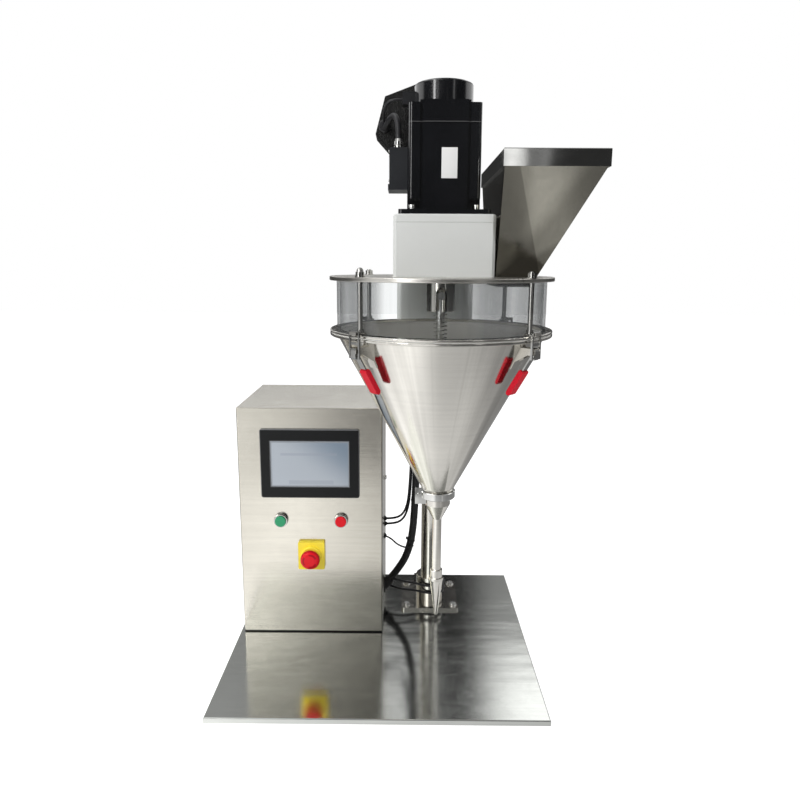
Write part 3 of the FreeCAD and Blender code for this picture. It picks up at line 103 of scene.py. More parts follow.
cableLook = {
    "bundle": {"radius": 0.0085, "pitch": 0.0042, "depth": 0.0007},
    "lead": {"radius": 0.0025}, "power": {"radius": 0.0050}, "signal": {"radius": 0.0022},
    "loop": {"radius": 0.0024}, "wire": {"radius": 0.0019},
}
cables = {
    "bundle_line": route("bundle_line", cableLook["bundle"], (
        (-0.032, 0.246, 0.7087), (-0.032, 0.2465, 0.5787), (-0.031, 0.248, 0.460), (-0.034, 0.252, 0.330),
        (-0.038, 0.259, 0.210), (-0.046, 0.266, 0.150), (-0.06446, 0.271, 0.09929),
        (-0.09876, 0.271, 0.05694))),
    "sensor_cord_a": route("sensor_cord_a", cableLook["lead"], leadPoints(0.213, -0.012, -0.0035)),
    "sensor_cord_b": route("sensor_cord_b", cableLook["lead"], leadPoints(0.196, -0.010, 0.007)),
    "power_cord": route("power_cord", cableLook["power"], (
        (-0.0745, 0, 0.99655), (-0.0745, 0, 1.01445), (-0.0774, 0.0084, 1.02995), (-0.0825, 0.023, 1.03885),
        (-0.0884, 0.0398, 1.03885), (-0.096, 0.060, 1.0315), (-0.099, 0.074, 1.028))),
    "signal_cord": route("signal_cord", cableLook["signal"], (
        (-0.06855, 0, 1.0585), (-0.08355, 0, 1.0585), (-0.09455, 0.005, 1.054), (-0.100, 0.016, 1.0445),
        (-0.101, 0.033, 1.041), (-0.101, 0.053, 1.038), (-0.101, 0.074, 1.038))),
    "ground_lead": route("ground_lead", cableLook["wire"], (
        (-0.1057, 0.262, 0.176), (-0.092, 0.262, 0.171), (-0.078, 0.258, 0.158), (-0.063, 0.254, 0.152),
        (-0.048, 0.251, 0.151), (-0.039, 0.250, 0.157))),
    "boot_wire": route("boot_wire", cableLook["wire"], (
        (-0.100, 0.259, 0.066), (-0.086, 0.257, 0.073), (-0.073, 0.255, 0.088), (-0.062, 0.254, 0.108),
        (-0.052, 0.254, 0.132), (-0.045, 0.254, 0.156))),
    "socket_loop_high": route("socket_loop_high", cableLook["loop"], (
        (-0.101, 0.268, 0.070), (-0.080, 0.262, 0.068), (-0.056, 0.258, 0.064), (-0.032, 0.262, 0.058),
        (-0.018, 0.258, 0.0555), (0, 0.2545, 0.0545), (0.024, 0.256, 0.0545), (0.0342, 0.276, 0.0545),
        (0.0342, 0.300, 0.0545), (0.018, 0.3225, 0.0545), (-0.010, 0.3225, 0.055), (-0.034, 0.306, 0.058))),
    "socket_loop_low": route("socket_loop_low", cableLook["loop"], (
        (-0.101, 0.276, 0.048), (-0.082, 0.264, 0.047), (-0.058, 0.257, 0.045), (-0.034, 0.261, 0.041),
        (-0.018, 0.258, 0.038), (0, 0.2545, 0.037), (0.024, 0.256, 0.037), (0.0342, 0.276, 0.037),
        (0.0342, 0.300, 0.037), (0.018, 0.3225, 0.037), (-0.010, 0.3225, 0.038), (-0.034, 0.306, 0.042))),
}
for name, node in {"sensor_cord_a": "sensor_lead_a", "sensor_cord_b": "sensor_lead_b",
                   "power_cord": "power_cable", "signal_cord": "signal_cable"}.items():
    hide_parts(node)
print("cables laid", len(cables))


def operator(operation, swapped=False):
    return lambda self, other: self.combine(operation, *((other, self) if swapped else (self, other)))


class Wire:
    # one shader socket that takes part in plain arithmetic
    def __init__(self, tree, socket):
        self.tree, self.socket = tree, socket

    def combine(self, operation, first, second):
        node = self.tree.nodes.new("ShaderNodeMath")
        node.operation = operation
        for slot, value in zip(node.inputs, (first, second)):
            if isinstance(value, Wire):
                self.tree.links.new(value.socket, slot)
            else:
                slot.default_value = value
        return Wire(self.tree, node.outputs[0])

    __add__, __radd__ = operator("ADD"), operator("ADD", True)
    __sub__, __rsub__ = operator("SUBTRACT"), operator("SUBTRACT", True)
    __mul__, __truediv__, __pow__ = operator("MULTIPLY"), operator("DIVIDE"), operator("POWER")
    __lt__, __gt__ = operator("LESS_THAN"), operator("GREATER_THAN")


class Graph:
    # a node tree with one way of adding nodes
    def __init__(self, tree):
        self.tree = tree
        tree.nodes.clear()

    def add(self, kind, settings=None, out=0, **sockets):
        node = self.tree.nodes.new(kind)
        for name, value in (settings or {}).items():
            if name == "stops":
                ramp = node.color_ramp
                while len(ramp.elements) < len(value):
                    ramp.elements.new(0.5)
                for element, (spot, colour) in zip(ramp.elements, value):
                    element.position = spot
                    element.color = (*colour, 1)
            else:
                setattr(node, name, value)
        for name, value in sockets.items():
            numbered = name[0] == "s" and name[1:].isdigit()   # s3 is the fourth socket
            slot = node.inputs[int(name[1:]) if numbered else name.replace("_", " ")]
            if isinstance(value, Wire):
                self.tree.links.new(value.socket, slot)
            elif isinstance(value, tuple) and len(value) == 3 and slot.type == "RGBA":
                slot.default_value = (*value, 1)
            else:
                slot.default_value = value
        return Wire(self.tree, node.outputs[out]) if len(node.outputs) else None


# noise settings: scale, detail, roughness, distortion
patterns = {
    "brushCloud": (9.0, 4.0, 0.6, 0.6), "brushSmudge": (26.0, 5.0, 0.65, 1.2), "reflectionStreaks": (1.0, 3.0, 0.6),
    "sway": (1.0, 2.0, 0.5), "polishCloud": (18.0, 3.0, 0.6), "polishScratch": (1.0, 3.0, 0.7),
    "blastSpeck": (1500.0, 2.0, 0.6), "blastCloud": (12.0, 4.0, 0.6), "paintPeel": (240.0, 2.0, 0.5),
    "paintCloud": (16.0, 4.0, 0.6), "mouldCloud": (30.0, 3.0, 0.6), "drumPaintedStreak": (1.0, 3.0, 0.65),
    "drumHaze": (60.0, 4.0, 0.7), "glassHaze": (70.0, 4.0, 0.6),
}


class Finish(Graph):
    # a material or world tree
    def __init__(self, name, world=False):
        self.data = (bpy.data.worlds if world else bpy.data.materials).new(name)
        self.data.use_nodes = True
        super().__init__(self.data.node_tree)

    def place(self, scale=(1, 1, 1), shift=(0, 0, 0), turn=(0, 0, 0)):
        spot = self.add("ShaderNodeTexCoord", out=3)
        return self.add("ShaderNodeMapping", Vector=spot, Scale=scale, Location=shift, Rotation=turn)

    def axes(self):
        split = self.add("ShaderNodeSeparateXYZ", Vector=self.add("ShaderNodeTexCoord", out=3))
        outputs = split.socket.node.outputs
        return [Wire(self.tree, outputs[index]) for index in range(3)]

    def noise(self, vector, scale=1.0, detail=3.0, roughness=0.5, distortion=0.0):
        return self.add("ShaderNodeTexNoise", Vector=vector, Scale=scale, Detail=detail,
                        Roughness=roughness, Distortion=distortion)

    def pattern(self, kind, spot=None):
        return self.noise(spot or self.place(), *patterns[kind])

    def blend(self, factor, first, second):
        return self.add("ShaderNodeMix", {"data_type": "RGBA"}, out=2, s0=factor, s6=first, s7=second)

    def bump(self, height, strength, distance=0.001):
        return self.add("ShaderNodeBump", Strength=strength, Distance=distance, Height=height)

    def swayed(self, normal, look):
        # sheet that is never quite flat
        if not look.get("sway"):
            return normal
        swell = self.pattern("sway", self.place(look["swell"]))
        return self.add("ShaderNodeBump", Strength=look["sway"], Distance=0.002, Height=swell, Normal=normal)

    def finish(self, **sockets):
        surface = self.add("ShaderNodeBsdfPrincipled", **sockets)
        self.add("ShaderNodeOutputMaterial", Surface=surface)
        return self.data


def softStep(finish, value, start, stop):
    return finish.add("ShaderNodeMapRange", {"interpolation_type": "SMOOTHSTEP"}, Value=value,
                      s1=start, s2=stop, s3=0.0, s4=1.0)


def larger(first, second):
    return first.combine("MAXIMUM", first, second)


def over(under, upper, share):
    return under + share * (upper - under)


def rayKinds(finish):
    outs = finish.add("ShaderNodeLightPath").socket.node.outputs
    return [Wire(finish.tree, outs["Is %s Ray" % kind]) for kind in ("Camera", "Glossy", "Transmission")]


def ramp(finish, value, start, stop, levels):
    # light or tone along a line, from (place, level) pairs; levels may pass one
    top = max(level for place, level in levels)
    stops = [((place - start) / (stop - start), (level / top,) * 3) for place, level in levels]
    share = finish.add("ShaderNodeMapRange", Value=value, s1=start, s2=stop)
    return finish.add("ShaderNodeValToRGB", {"stops": stops}, Fac=share) * top


def fromAxis(finish, x, y):
    # distance from the auger's line
    flat = finish.add("ShaderNodeCombineXYZ", X=x - axis.x, Y=y - axis.y, Z=0.0)
    return finish.add("ShaderNodeVectorMath", {"operation": "LENGTH"}, out=1, s0=flat)


def faceSpot(finish, node):
    # how far across and up a node's box each place lies, from 0 to 1
    x, _, z = finish.axes()
    low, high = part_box(node)
    return (x - low[0]) / (high[0] - low[0]), (z - low[2]) / (high[2] - low[2])


def inside(across, left, right, rise, foot, top):
    # one inside an upright rectangle, nothing outside it
    return (across > left) * (across < right) * (rise > foot) * (rise < top)


def uneven(base, *parts):
    # a value that strays either way with each pattern
    for pattern, amount in parts:
        base = base + (pattern - 0.5) * amount
    return base


grainLook = {"stretch": 60, "around": 6, "detail": 2.0, "roughness": 0.6, "wide": 9}


def grainLines(finish, run, fine):
    # hair lines along one direction: long along it, close together across it
    if run == "turned":
        x, y, z = finish.axes()
        radius = fromAxis(finish, x, y)
        spot = finish.add("ShaderNodeCombineXYZ", X=radius * fine, Y=z * fine,
                          Z=(x + y) * grainLook["around"])
    else:
        long = fine / grainLook["stretch"]
        spot = finish.place({"x": (long, fine, fine), "z": (fine, fine, long)}[run])
    return finish.noise(spot, 1.0, grainLook["detail"], grainLook["roughness"])


# painted reflection: dark streaks running down the hopper, set by turn round the auger's line
reflectionStreakLook = {"around": 6, "down": 0.6, "edge": (0.56, 0.36), "tone": (0.26, 0.25, 0.225)}
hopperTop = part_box("hopper_cone")[1][2]
# the hopper's outer skin as radius and height at its two ends, and the dusty film inside it
filmLook = {"low": (0.0265, hopperTop - 0.294), "high": (0.180, hopperTop - 0.005), "edge": (0.0006, 0.0014),
            "cover": 0.9, "rougher": 0.2, "tone": (0.90, 0.89, 0.86)}


def brushedSteel(name, run, look, tint=None, dull=None):
    # tint and dull may each be a function of the finish: where painted shade and dark reflection turn the
    # steel to its deep tone, and where a dusty film lies
    finish = Finish(name)
    lines = grainLines(finish, run, look["fine"])
    wide = grainLines(finish, run, look["fine"] / grainLook["wide"])
    cloud = finish.pattern("brushCloud")
    smudge = finish.pattern("brushSmudge", finish.place((1, 1, 1), (3, 1, 2)))
    colour = finish.blend(lines * 0.30 + wide * 0.35 + cloud * 0.35, look["dark"], look["light"])
    # painted reflection streaks, darker, running down the cone
    if look.get("reflectionStreaks"):
        x, y, z = finish.axes()
        around = x.combine("ARCTAN2", x - axis.x, y - axis.y)
        spot = finish.add("ShaderNodeCombineXYZ", X=around * reflectionStreakLook["around"], Y=0.0,
                          Z=z * reflectionStreakLook["down"])
        reflectionStreaks = softStep(finish, finish.pattern("reflectionStreaks", spot), *reflectionStreakLook["edge"]) * look["reflectionStreaks"]
        colour = finish.blend(reflectionStreaks, colour, reflectionStreakLook["tone"])
    # painted shade and dark reflection: the deep tone wherever tint asks for it
    if tint:
        colour = finish.blend(tint(finish), colour, look["deep"])
    rough = uneven(look["rough"], (lines, 0.10), (smudge, 0.14))
    metal = 1.0
    if dull:
        film = dull(finish)
        metal = 1 - film * filmLook["cover"]
        colour = finish.blend(film * filmLook["cover"], colour, filmLook["tone"])
        rough = rough + film * filmLook["rougher"]
    normal = finish.swayed(finish.bump(lines * 0.7 + wide * 0.3, look["relief"], look["depth"]), look)
    return finish.finish(Base_Color=colour, Metallic=metal, Roughness=rough, Normal=normal)


def hopperFilm(finish):
    # an invented powder film on the hopper's inside, clear of the outer skin
    x, y, z = finish.axes()
    radius = fromAxis(finish, x, y)
    (lowRadius, lowHeight), (highRadius, highHeight) = filmLook["low"], filmLook["high"]
    skin = lowRadius + (z - lowHeight) * ((highRadius - lowRadius) / (highHeight - lowHeight))
    return softStep(finish, skin - radius, *filmLook["edge"])


# painted shade on the box: how far its foot line and its front corner strips reach, and the strips' share
boxShadeLook = {"foot": (0.0042, 0.0022), "left": (0.0020, 0.0010), "right": (-0.0022, -0.0012), "front": 0.004,
            "side": 0.6}


def boxPaintedShade(finish):
    # painted shade: a dark contact line at the box's foot and darker strips down its bent corners at the
    # front
    x, y, z = finish.axes()
    low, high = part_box("control_box_shell")
    foot = softStep(finish, z, *[low[2] + away for away in boxShadeLook["foot"]])
    left = softStep(finish, x, *[low[0] + away for away in boxShadeLook["left"]])
    right = softStep(finish, x, *[high[0] + away for away in boxShadeLook["right"]])
    return larger(foot, (left + right) * boxShadeLook["side"] * (y < low[1] + boxShadeLook["front"]))


# painted dark reflections on the chute's front: the lines that part their fields, where each tone begins and
# ends, and how dark it is
foldShadeLook = {"below": {"slope": 2.6, "start": 1.27, "edge": (0.02, -0.02), "dark": 0.35},
            "lower": {"slope": 0.42, "start": 0.02, "edge": (0.10, 0.02), "dark": 0.30},
            "left": {"edge": (0.34, 0.20), "dark": 0.45, "share": 0.6},
            "right": {"slope": 0.9, "edge": (-0.15, 0.10), "dark": 0.75, "share": 0.7}}


def chuteFoldShade(finish):
    # darker fields of the chute's front, painted dark reflections: both upper corners, and below the pressed
    # folds
    across, rise = faceSpot(finish, "feed_chute")
    low, foot, right = foldShadeLook["below"], foldShadeLook["lower"], foldShadeLook["right"]
    lines = {"below": rise + across * low["slope"] - low["start"],
             "lower": rise - across * foot["slope"] - foot["start"],
             "left": across, "right": across - rise * right["slope"]}
    tones = {part: softStep(finish, lines[part], *look["edge"]) * look["dark"] for part,
             look in foldShadeLook.items()}
    sides = [tones[part] * foldShadeLook[part]["share"] for part in ("left", "right")]
    return tones["below"] + tones["lower"] + sides[0] + sides[1]


def polishedSteel(name, look):
    finish = Finish(name)
    cloud = finish.pattern("polishCloud")
    scratch = finish.pattern("polishScratch", finish.place((40, 400, 90), (0, 0, 0), (0.4, 0.3, 0.7)))
    colour = finish.blend(cloud, look["dark"], look["light"])
    normal = finish.swayed(finish.bump(scratch * 0.6 + cloud * 0.4, look["relief"], 0.0004), look)
    return finish.finish(Base_Color=colour, Metallic=1.0,
                         Roughness=uneven(look["rough"], (cloud, 0.08), (scratch, 0.05)),
                         Normal=normal)


def blastedAluminium(name, look):
    finish = Finish(name)
    speck, cloud = finish.pattern("blastSpeck"), finish.pattern("blastCloud")
    colour = finish.blend(speck * 0.6 + cloud * 0.4, look["dark"], look["light"])
    return finish.finish(Base_Color=colour, Metallic=look["metal"],
                         Roughness=uneven(look["rough"], (speck, 0.12), (cloud, 0.08)),
                         Normal=finish.bump(speck, look["relief"], 0.0003))


def paint(name, look):
    finish = Finish(name)
    peel, cloud = finish.pattern("paintPeel"), finish.pattern("paintCloud")
    colour = finish.blend(cloud, look["dark"], look["light"])
    # seam lines as height, half width and tone: the paler one is a painted highlight along the seam's lip,
    # the black one its dark joint
    for height, half, lineTone in look.get("seamLinesAndHighlight", ()):
        z = finish.axes()[2]
        line = softStep(finish, z, height - half, height) * softStep(finish, z, height + half, height)
        colour = finish.blend(line, colour, (lineTone,) * 3)
    return finish.finish(Base_Color=colour, Roughness=uneven(look["rough"], (cloud, 0.10), (peel, 0.04)),
                         Coat_Weight=look["coat"], Coat_Roughness=0.08, Specular_IOR_Level=0.5,
                         Normal=finish.bump(peel, look["relief"], 0.0004))


def moulded(name, look, paintedLightAndMarks=None):
    finish = Finish(name)
    texture = finish.noise(finish.place(), look["grain"], 3.0, 0.6)
    cloud = finish.pattern("mouldCloud")
    colour = finish.blend(texture * 0.5 + cloud * 0.5, look["dark"], look["light"])
    # a second tone laid by a function: printed marks, painted shade and painted highlight
    if paintedLightAndMarks:
        colour = finish.blend(paintedLightAndMarks(finish), colour, look["paintedLightAndMarks"])
    return finish.finish(Base_Color=colour, Roughness=uneven(look["rough"], (texture, 0.12), (cloud, 0.08)),
                         Coat_Weight=look["coat"], Coat_Roughness=0.12,
                         Specular_IOR_Level=look.get("shine", 0.45),
                         Normal=finish.bump(texture, look["relief"], 0.0003))


# painted highlight along the bezel's edges: widths and shares
bezelHighlightLook = {"rim": 0.0016, "window": 0.0012, "rimShare": 0.8, "windowShare": 0.6}


def bezelEdgeHighlight(finish):
    # painted highlight: paler lines round the bezel's outer edge and round its window
    x, _, z = finish.axes()
    low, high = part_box("hmi_bezel")
    rim, gap = bezelHighlightLook["rim"], bezelHighlightLook["window"]
    outer = 1 - inside(x, low[0] + rim, high[0] - rim, z, low[2] + rim, high[2] - rim)
    low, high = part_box("hmi_screen")
    window = inside(x, low[0] - gap, high[0] + gap, z, low[2] - gap, high[2] + gap)
    return outer * bezelHighlightLook["rimShare"] + window * bezelHighlightLook["windowShare"]


# shares of the mushroom's radius where its arrow ring and its darker side, a painted shade on its rounded
# edge, begin and end
arrowLook = {"inner": (0.56, 0.60), "outer": (0.78, 0.74), "side": (0.88, 0.97), "count": 3,
             "gap": (-0.5, -0.2),
             "ringShare": 0.55, "edgeShadeShare": 0.35}


def arrowRingAndEdgeShade(finish):
    # arcs round the mushroom's face, where an operator twists it, and painted shade round its rounded edge
    x, _, z = finish.axes()
    low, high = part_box("estop_head")
    middle, reach = (low + high) / 2, (high[0] - low[0]) / 2
    across, rise = x - middle[0], z - middle[2]
    radius = (across * across + rise * rise) ** 0.5
    inner, outer, side = [softStep(finish, radius, *[reach * share for share in arrowLook[part]])
                          for part in ("inner", "outer", "side")]
    turn = across.combine("ARCTAN2", across, rise) * arrowLook["count"]
    arc = softStep(finish, turn.combine("SINE", turn, 0.0), *arrowLook["gap"])
    return inner * outer * arc * arrowLook["ringShare"] + side * arrowLook["edgeShadeShare"]


def acrylic(name, look):
    # a clear tube wall with painted upright reflection streaks and painted shade bands fixed by place across
    # it, darker towards its left and right edges, where it is seen edge-on from the front
    finish = Finish(name)
    x, y, z = finish.axes()
    left, right = [corner[0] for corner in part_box("clear_drum")]
    stops = [(spot, (tone,) * 3) for spot, tone in look["paintedBands"]]
    shade = finish.add("ShaderNodeValToRGB", {"stops": stops}, Fac=(x - left) / (right - left))
    paintedStreak = finish.pattern("drumPaintedStreak", finish.add("ShaderNodeCombineXYZ", X=x * 60, Y=y * 60, Z=z * 1.2))
    body = finish.add("ShaderNodeBsdfPrincipled", Base_Color=look["tint"],
                      Roughness=0.04 + finish.pattern("drumHaze") * 0.05, IOR=1.49, Specular_IOR_Level=0.9)
    seen = finish.add("ShaderNodeBsdfTransparent", Color=look["through"])
    mixed = finish.add("ShaderNodeMixShader", s0=uneven(shade, (paintedStreak, look["paintedStreak"])), s1=seen, s2=body)
    finish.add("ShaderNodeOutputMaterial", Surface=mixed)
    return finish.data


def screenGlass(name, look):
    # a sleeping display: pale, with two dim bars, darker to the upper right
    finish = Finish(name)
    across, rise = faceSpot(finish, "hmi_screen")
    drift = softStep(finish, across * 0.62 + rise * 0.45, 0.45, 1.0)
    colour = finish.blend(drift, look["pale"], look["deep"])
    for left, right, foot, top, depth in look["bars"]:
        colour = finish.blend(inside(across, left, right, rise, foot, top) * depth, colour, look["bar"])
    rim = 1 - inside(across, 0.02, 0.985, rise, 0.03, 0.965)
    colour = finish.blend(rim * 0.8, colour, look["rim"])
    return finish.finish(Base_Color=colour, Roughness=0.16 + finish.pattern("glassHaze") * 0.10,
                         Coat_Weight=0.4, Coat_Roughness=0.04)


steelLook = {"dark": (0.54, 0.515, 0.45), "light": (0.80, 0.77, 0.69), "rough": 0.20, "fine": 1500.0,
             "relief": 0.30, "depth": 0.0003}
trayLook = dict(steelLook, dark=(0.50, 0.51, 0.485), light=(0.70, 0.715, 0.69), rough=0.115, relief=0.08,
                fine=2600.0, sway=0.30, swell=(4, 16, 1))
coneLook = dict(steelLook, dark=(0.60, 0.585, 0.55), light=(0.86, 0.835, 0.775), rough=0.13, relief=0.08)
# deep is the tone of the chute's painted dark reflections
chuteLook = dict(steelLook, dark=(0.56, 0.54, 0.46), light=(0.82, 0.79, 0.68), deep=(0.16, 0.15, 0.125),
                 rough=0.17, relief=0.12, sway=0.5, swell=(7, 7, 5))
mirrorLook = {"dark": (0.62, 0.62, 0.60), "light": (0.84, 0.84, 0.82), "rough": 0.07, "relief": 0.05}

finishes = {
    # the box's deep tone is its painted shade at the foot and the front corners
    "boxSteel": brushedSteel("box_steel", "x", dict(
        steelLook, deep=(0.03, 0.03, 0.028), sway=0.22, swell=(3, 3, 3)), tint=boxPaintedShade),
    "traySteel": brushedSteel("tray_steel", "x", trayLook),
    "turnedSteel": brushedSteel("turned_steel", "turned", coneLook),
    "hopperSteel": brushedSteel("hopper_steel", "turned", dict(coneLook, reflectionStreaks=0.24), dull=hopperFilm),
    "tubeSteel": brushedSteel("tube_steel", "turned", dict(coneLook, rough=0.12)),
    "coverSteel": brushedSteel("cover_steel", "turned", dict(coneLook, rough=0.30)),
    "chuteSteel": brushedSteel("chute_steel", "z", chuteLook, tint=chuteFoldShade),
    "shroudSteel": brushedSteel("shroud_steel", "z", dict(
        steelLook, dark=(0.10, 0.10, 0.10), light=(0.20, 0.20, 0.195), rough=0.26, relief=0.08)),
    "mirrorSteel": polishedSteel("mirror_steel", mirrorLook),
    "lidSteel": polishedSteel("lid_steel", dict(mirrorLook, rough=0.06, sway=0.30, swell=(9, 9, 9))),
    "latchSteel": polishedSteel("latch_steel", {
        "dark": (0.24, 0.24, 0.235), "light": (0.66, 0.66, 0.645), "rough": 0.13, "relief": 0.10}),
    "rodSteel": polishedSteel("rod_steel", {
        "dark": (0.34, 0.335, 0.32), "light": (0.60, 0.595, 0.57), "rough": 0.12, "relief": 0.06}),
    "screwSteel": polishedSteel("screw_steel", dict(mirrorLook, rough=0.22, relief=0.12)),
    "castAluminium": blastedAluminium("cast_aluminium", {
        "dark": (0.58, 0.59, 0.575), "light": (0.74, 0.75, 0.73), "rough": 0.46, "metal": 0.25,
        "relief": 0.25}),
    "motorPaint": paint("motor_paint", {
        "dark": (0.002, 0.0022, 0.003), "light": (0.005, 0.0055, 0.007), "rough": 0.22, "coat": 0.9,
        # the paler seam line is a painted highlight, the black one the joint
        "relief": 0.06, "seamLinesAndHighlight": ((1.0125, 0.0008, 0.10), (1.0105, 0.001, 0.0))}),
    "boxPaint": paint("terminal_paint", {
        "dark": (0.007, 0.008, 0.010), "light": (0.016, 0.017, 0.020), "rough": 0.42, "coat": 0.1,
        "relief": 0.15}),
    "blackPlastic": moulded("black_plastic", {
        "dark": (0.006, 0.0065, 0.008), "light": (0.012, 0.0125, 0.014), "rough": 0.42, "coat": 0.1,
        "relief": 0.12, "grain": 900.0}),
    "bezelPlastic": moulded("bezel_plastic", {
        "dark": (0.003, 0.0035, 0.004), "light": (0.007, 0.0075, 0.008), "paintedLightAndMarks": (0.16, 0.165, 0.17),
        "rough": 0.38, "coat": 0.0, "shine": 0.25, "relief": 0.08, "grain": 900.0}, paintedLightAndMarks=bezelEdgeHighlight),
    "estopRed": moulded("estop_red", {
        "dark": (0.56, 0.002, 0.008), "light": (0.72, 0.005, 0.016), "paintedLightAndMarks": (0.10, 0.0, 0.004),
        "rough": 0.33, "coat": 0.0, "shine": 0.3, "relief": 0.06, "grain": 500.0}, paintedLightAndMarks=arrowRingAndEdgeShade),
    "rubber": moulded("black_rubber", {
        "dark": (0.008, 0.008, 0.009), "light": (0.018, 0.018, 0.02), "rough": 0.5, "coat": 0.05,
        "relief": 0.2, "grain": 600.0}),
    "acrylic": acrylic("clear_acrylic", {
        "tint": (0.16, 0.165, 0.17), "through": (0.985, 0.99, 0.99), "paintedStreak": 0.10,
        # painted shade and reflection bands across the drum from left to right: place, and share of the
        # darker wall
        "paintedBands": ((0.0, 0.65), (0.03, 0.26), (0.10, 0.34), (0.17, 0.24), (0.22, 0.01), (0.42, 0.0),
                     (0.50, 0.03), (0.58, 0.04), (0.66, 0.30), (0.84, 0.34), (0.90, 0.10), (0.96, 0.24),
                     (1.0, 0.65))}),
    "screenGlass": screenGlass("screen_glass", {
        "pale": (0.355, 0.39, 0.435), "deep": (0.17, 0.22, 0.28), "bar": (0.26, 0.29, 0.34),
        "rim": (0.24, 0.26, 0.29),
        "bars": ((0.13, 0.85, 0.685, 0.74, 0.45), (0.23, 0.80, 0.05, 0.14, 0.45))}),
    "greenPlastic": moulded("green_plastic", {
        "dark": (0.008, 0.22, 0.09), "light": (0.02, 0.32, 0.14), "rough": 0.34, "coat": 0.05,
        "relief": 0.05, "grain": 500.0}),
    "redPlastic": moulded("red_plastic", {
        "dark": (0.56, 0.002, 0.008), "light": (0.72, 0.005, 0.016), "rough": 0.36, "coat": 0.0,
        "shine": 0.25, "relief": 0.06, "grain": 500.0}),
    "gripVinyl": moulded("grip_vinyl", {
        "dark": (0.46, 0.002, 0.012), "light": (0.60, 0.005, 0.022), "rough": 0.42, "coat": 0.0,
        "shine": 0.25, "relief": 0.10, "grain": 260.0}),
    "yellowPlastic": moulded("yellow_plastic", {
        "dark": (0.84, 0.66, 0.03), "light": (0.92, 0.76, 0.07), "rough": 0.42, "coat": 0.0, "relief": 0.06,
        "grain": 500.0}),
    "silicone": moulded("seal_silicone", {
        "dark": (0.52, 0.52, 0.50), "light": (0.66, 0.66, 0.64), "rough": 0.5, "coat": 0.0, "relief": 0.10,
        "grain": 400.0}),
    "labelWhite": moulded("label_white", {
        "dark": (0.60, 0.60, 0.59), "light": (0.72, 0.72, 0.71), "rough": 0.5, "coat": 0.1, "relief": 0.04,
        "grain": 700.0}),
}
print("finishes made", len(finishes))


nodeFinish = {
    "base_tray": "traySteel", "base_stiffener": "traySteel", "control_box_shell": "boxSteel",
    "box_rear_door": "boxSteel", "hmi_bezel": "bezelPlastic", "hmi_screen": "screenGlass",
    "start_button_rim": "latchSteel", "stop_button_rim": "latchSteel", "start_button_cap": "greenPlastic",
    "stop_button_cap": "redPlastic", "estop_guard": "yellowPlastic", "estop_stem": "blackPlastic",
    "estop_head": "estopRed", "column_foot": "turnedSteel", "column_tube": "tubeSteel",
    "head_bracket": "castAluminium", "cover_plate": "coverSteel", "clear_drum": "acrylic",
    "drum_ring": "turnedSteel", "hopper_seal": "silicone", "hopper_cone": "hopperSteel",
    "ferrule_clamp": "mirrorSteel", "spout_tube": "tubeSteel", "fill_nozzle": "tubeSteel",
    "drive_hub": "turnedSteel", "drive_pin": "screwSteel", "auger_screw": "screwSteel",
    "gearbox_housing": "castAluminium", "gearbox_lid": "castAluminium", "servo_motor": "motorPaint",
    "motor_rear_cap": "motorPaint", "terminal_box": "boxPaint", "terminal_gland": "mirrorSteel",
    "encoder_plug": "blackPlastic", "motor_shroud": "shroudSteel", "shroud_grommet": "rubber",
    "feed_chute": "chuteSteel", "chute_lid": "lidSteel", "cable_inlet": "rubber",
}
wordFinish = {"grip": "gripVinyl", "cable": "rubber", "lead": "rubber",
              "rod": "rodSteel"}   # the rest are latches
for node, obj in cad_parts.items():
    kind = nodeFinish.get(node) or next((kind for word, kind in wordFinish.items() if word in node),
                                        "latchSteel")
    obj.data.materials.clear()
    obj.data.materials.append(finishes[kind])
    for face in obj.data.polygons:
        face.material_index = 0
print("nodes dressed", len(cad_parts))


def finishMesh(name, work, body, kind, sharp=30):
    bmesh.ops.remove_doubles(work, verts=work.verts, dist=1e-6)
    bmesh.ops.recalc_face_normals(work, faces=work.faces)
    mesh = bpy.data.meshes.new(name)
    work.to_mesh(mesh)
    work.free()
    mesh.shade_smooth()
    mesh.set_sharp_from_angle(angle=math.radians(sharp))
    mesh.materials.append(finishes[kind])
    obj = bpy.data.objects.new(name, mesh)
    scene.collection.objects.link(obj)
    if body:
        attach(obj, body)
    return obj


def facing(spot, direction):
    # stands a piece made along +Z at a spot, turned along a direction
    return Matrix.Translation(Vector(spot)) @ Vector(direction).to_track_quat("Z", "Y").to_matrix().to_4x4()


halfSide = math.pi / 6   # half the turn that one side of a hexagon spans


def lathe(work, profile, place, steps=40, closed=False, outlineAt=None):
    rings = []
    for row, (radius, height) in enumerate(profile):
        if radius < 1e-7:
            rings.append([work.verts.new(place @ Vector((0, 0, height)))])
            continue
        ringVerts = []
        for index in range(steps):
            turn = 2 * math.pi * index / steps
            reach = radius
            if outlineAt and row in outlineAt:   # a hexagon across this row
                reach = radius * math.cos(halfSide) / math.cos((turn + halfSide) % (2 * halfSide) - halfSide)
            corner = Vector((reach * math.cos(turn), reach * math.sin(turn), height))
            ringVerts.append(work.verts.new(place @ corner))
        rings.append(ringVerts)
    pairs = list(zip(rings, rings[1:])) + ([(rings[-1], rings[0])] if closed else [])
    for low, high in pairs:
        for index in range(max(len(low), len(high))):
            corners = []
            for vert in (low[index % len(low)], low[(index + 1) % len(low)],
                         high[(index + 1) % len(high)], high[index % len(high)]):
                if vert not in corners:
                    corners.append(vert)
            if len(corners) > 2:
                work.faces.new(corners)


def slab(work, low, high, soft=0.0005):
    # a block between two corners with softened edges
    middle = (Vector(low) + Vector(high)) / 2
    span = Vector(high) - Vector(low)
    made = bmesh.ops.create_cube(work, size=1,
                                 matrix=Matrix.Translation(middle) @ Matrix.Diagonal((*span, 1)))
    edges = {edge for vert in made["verts"] for edge in vert.link_edges}
    bmesh.ops.bevel(work, geom=list(edges), offset=soft, segments=2, affect="EDGES", profile=0.7)


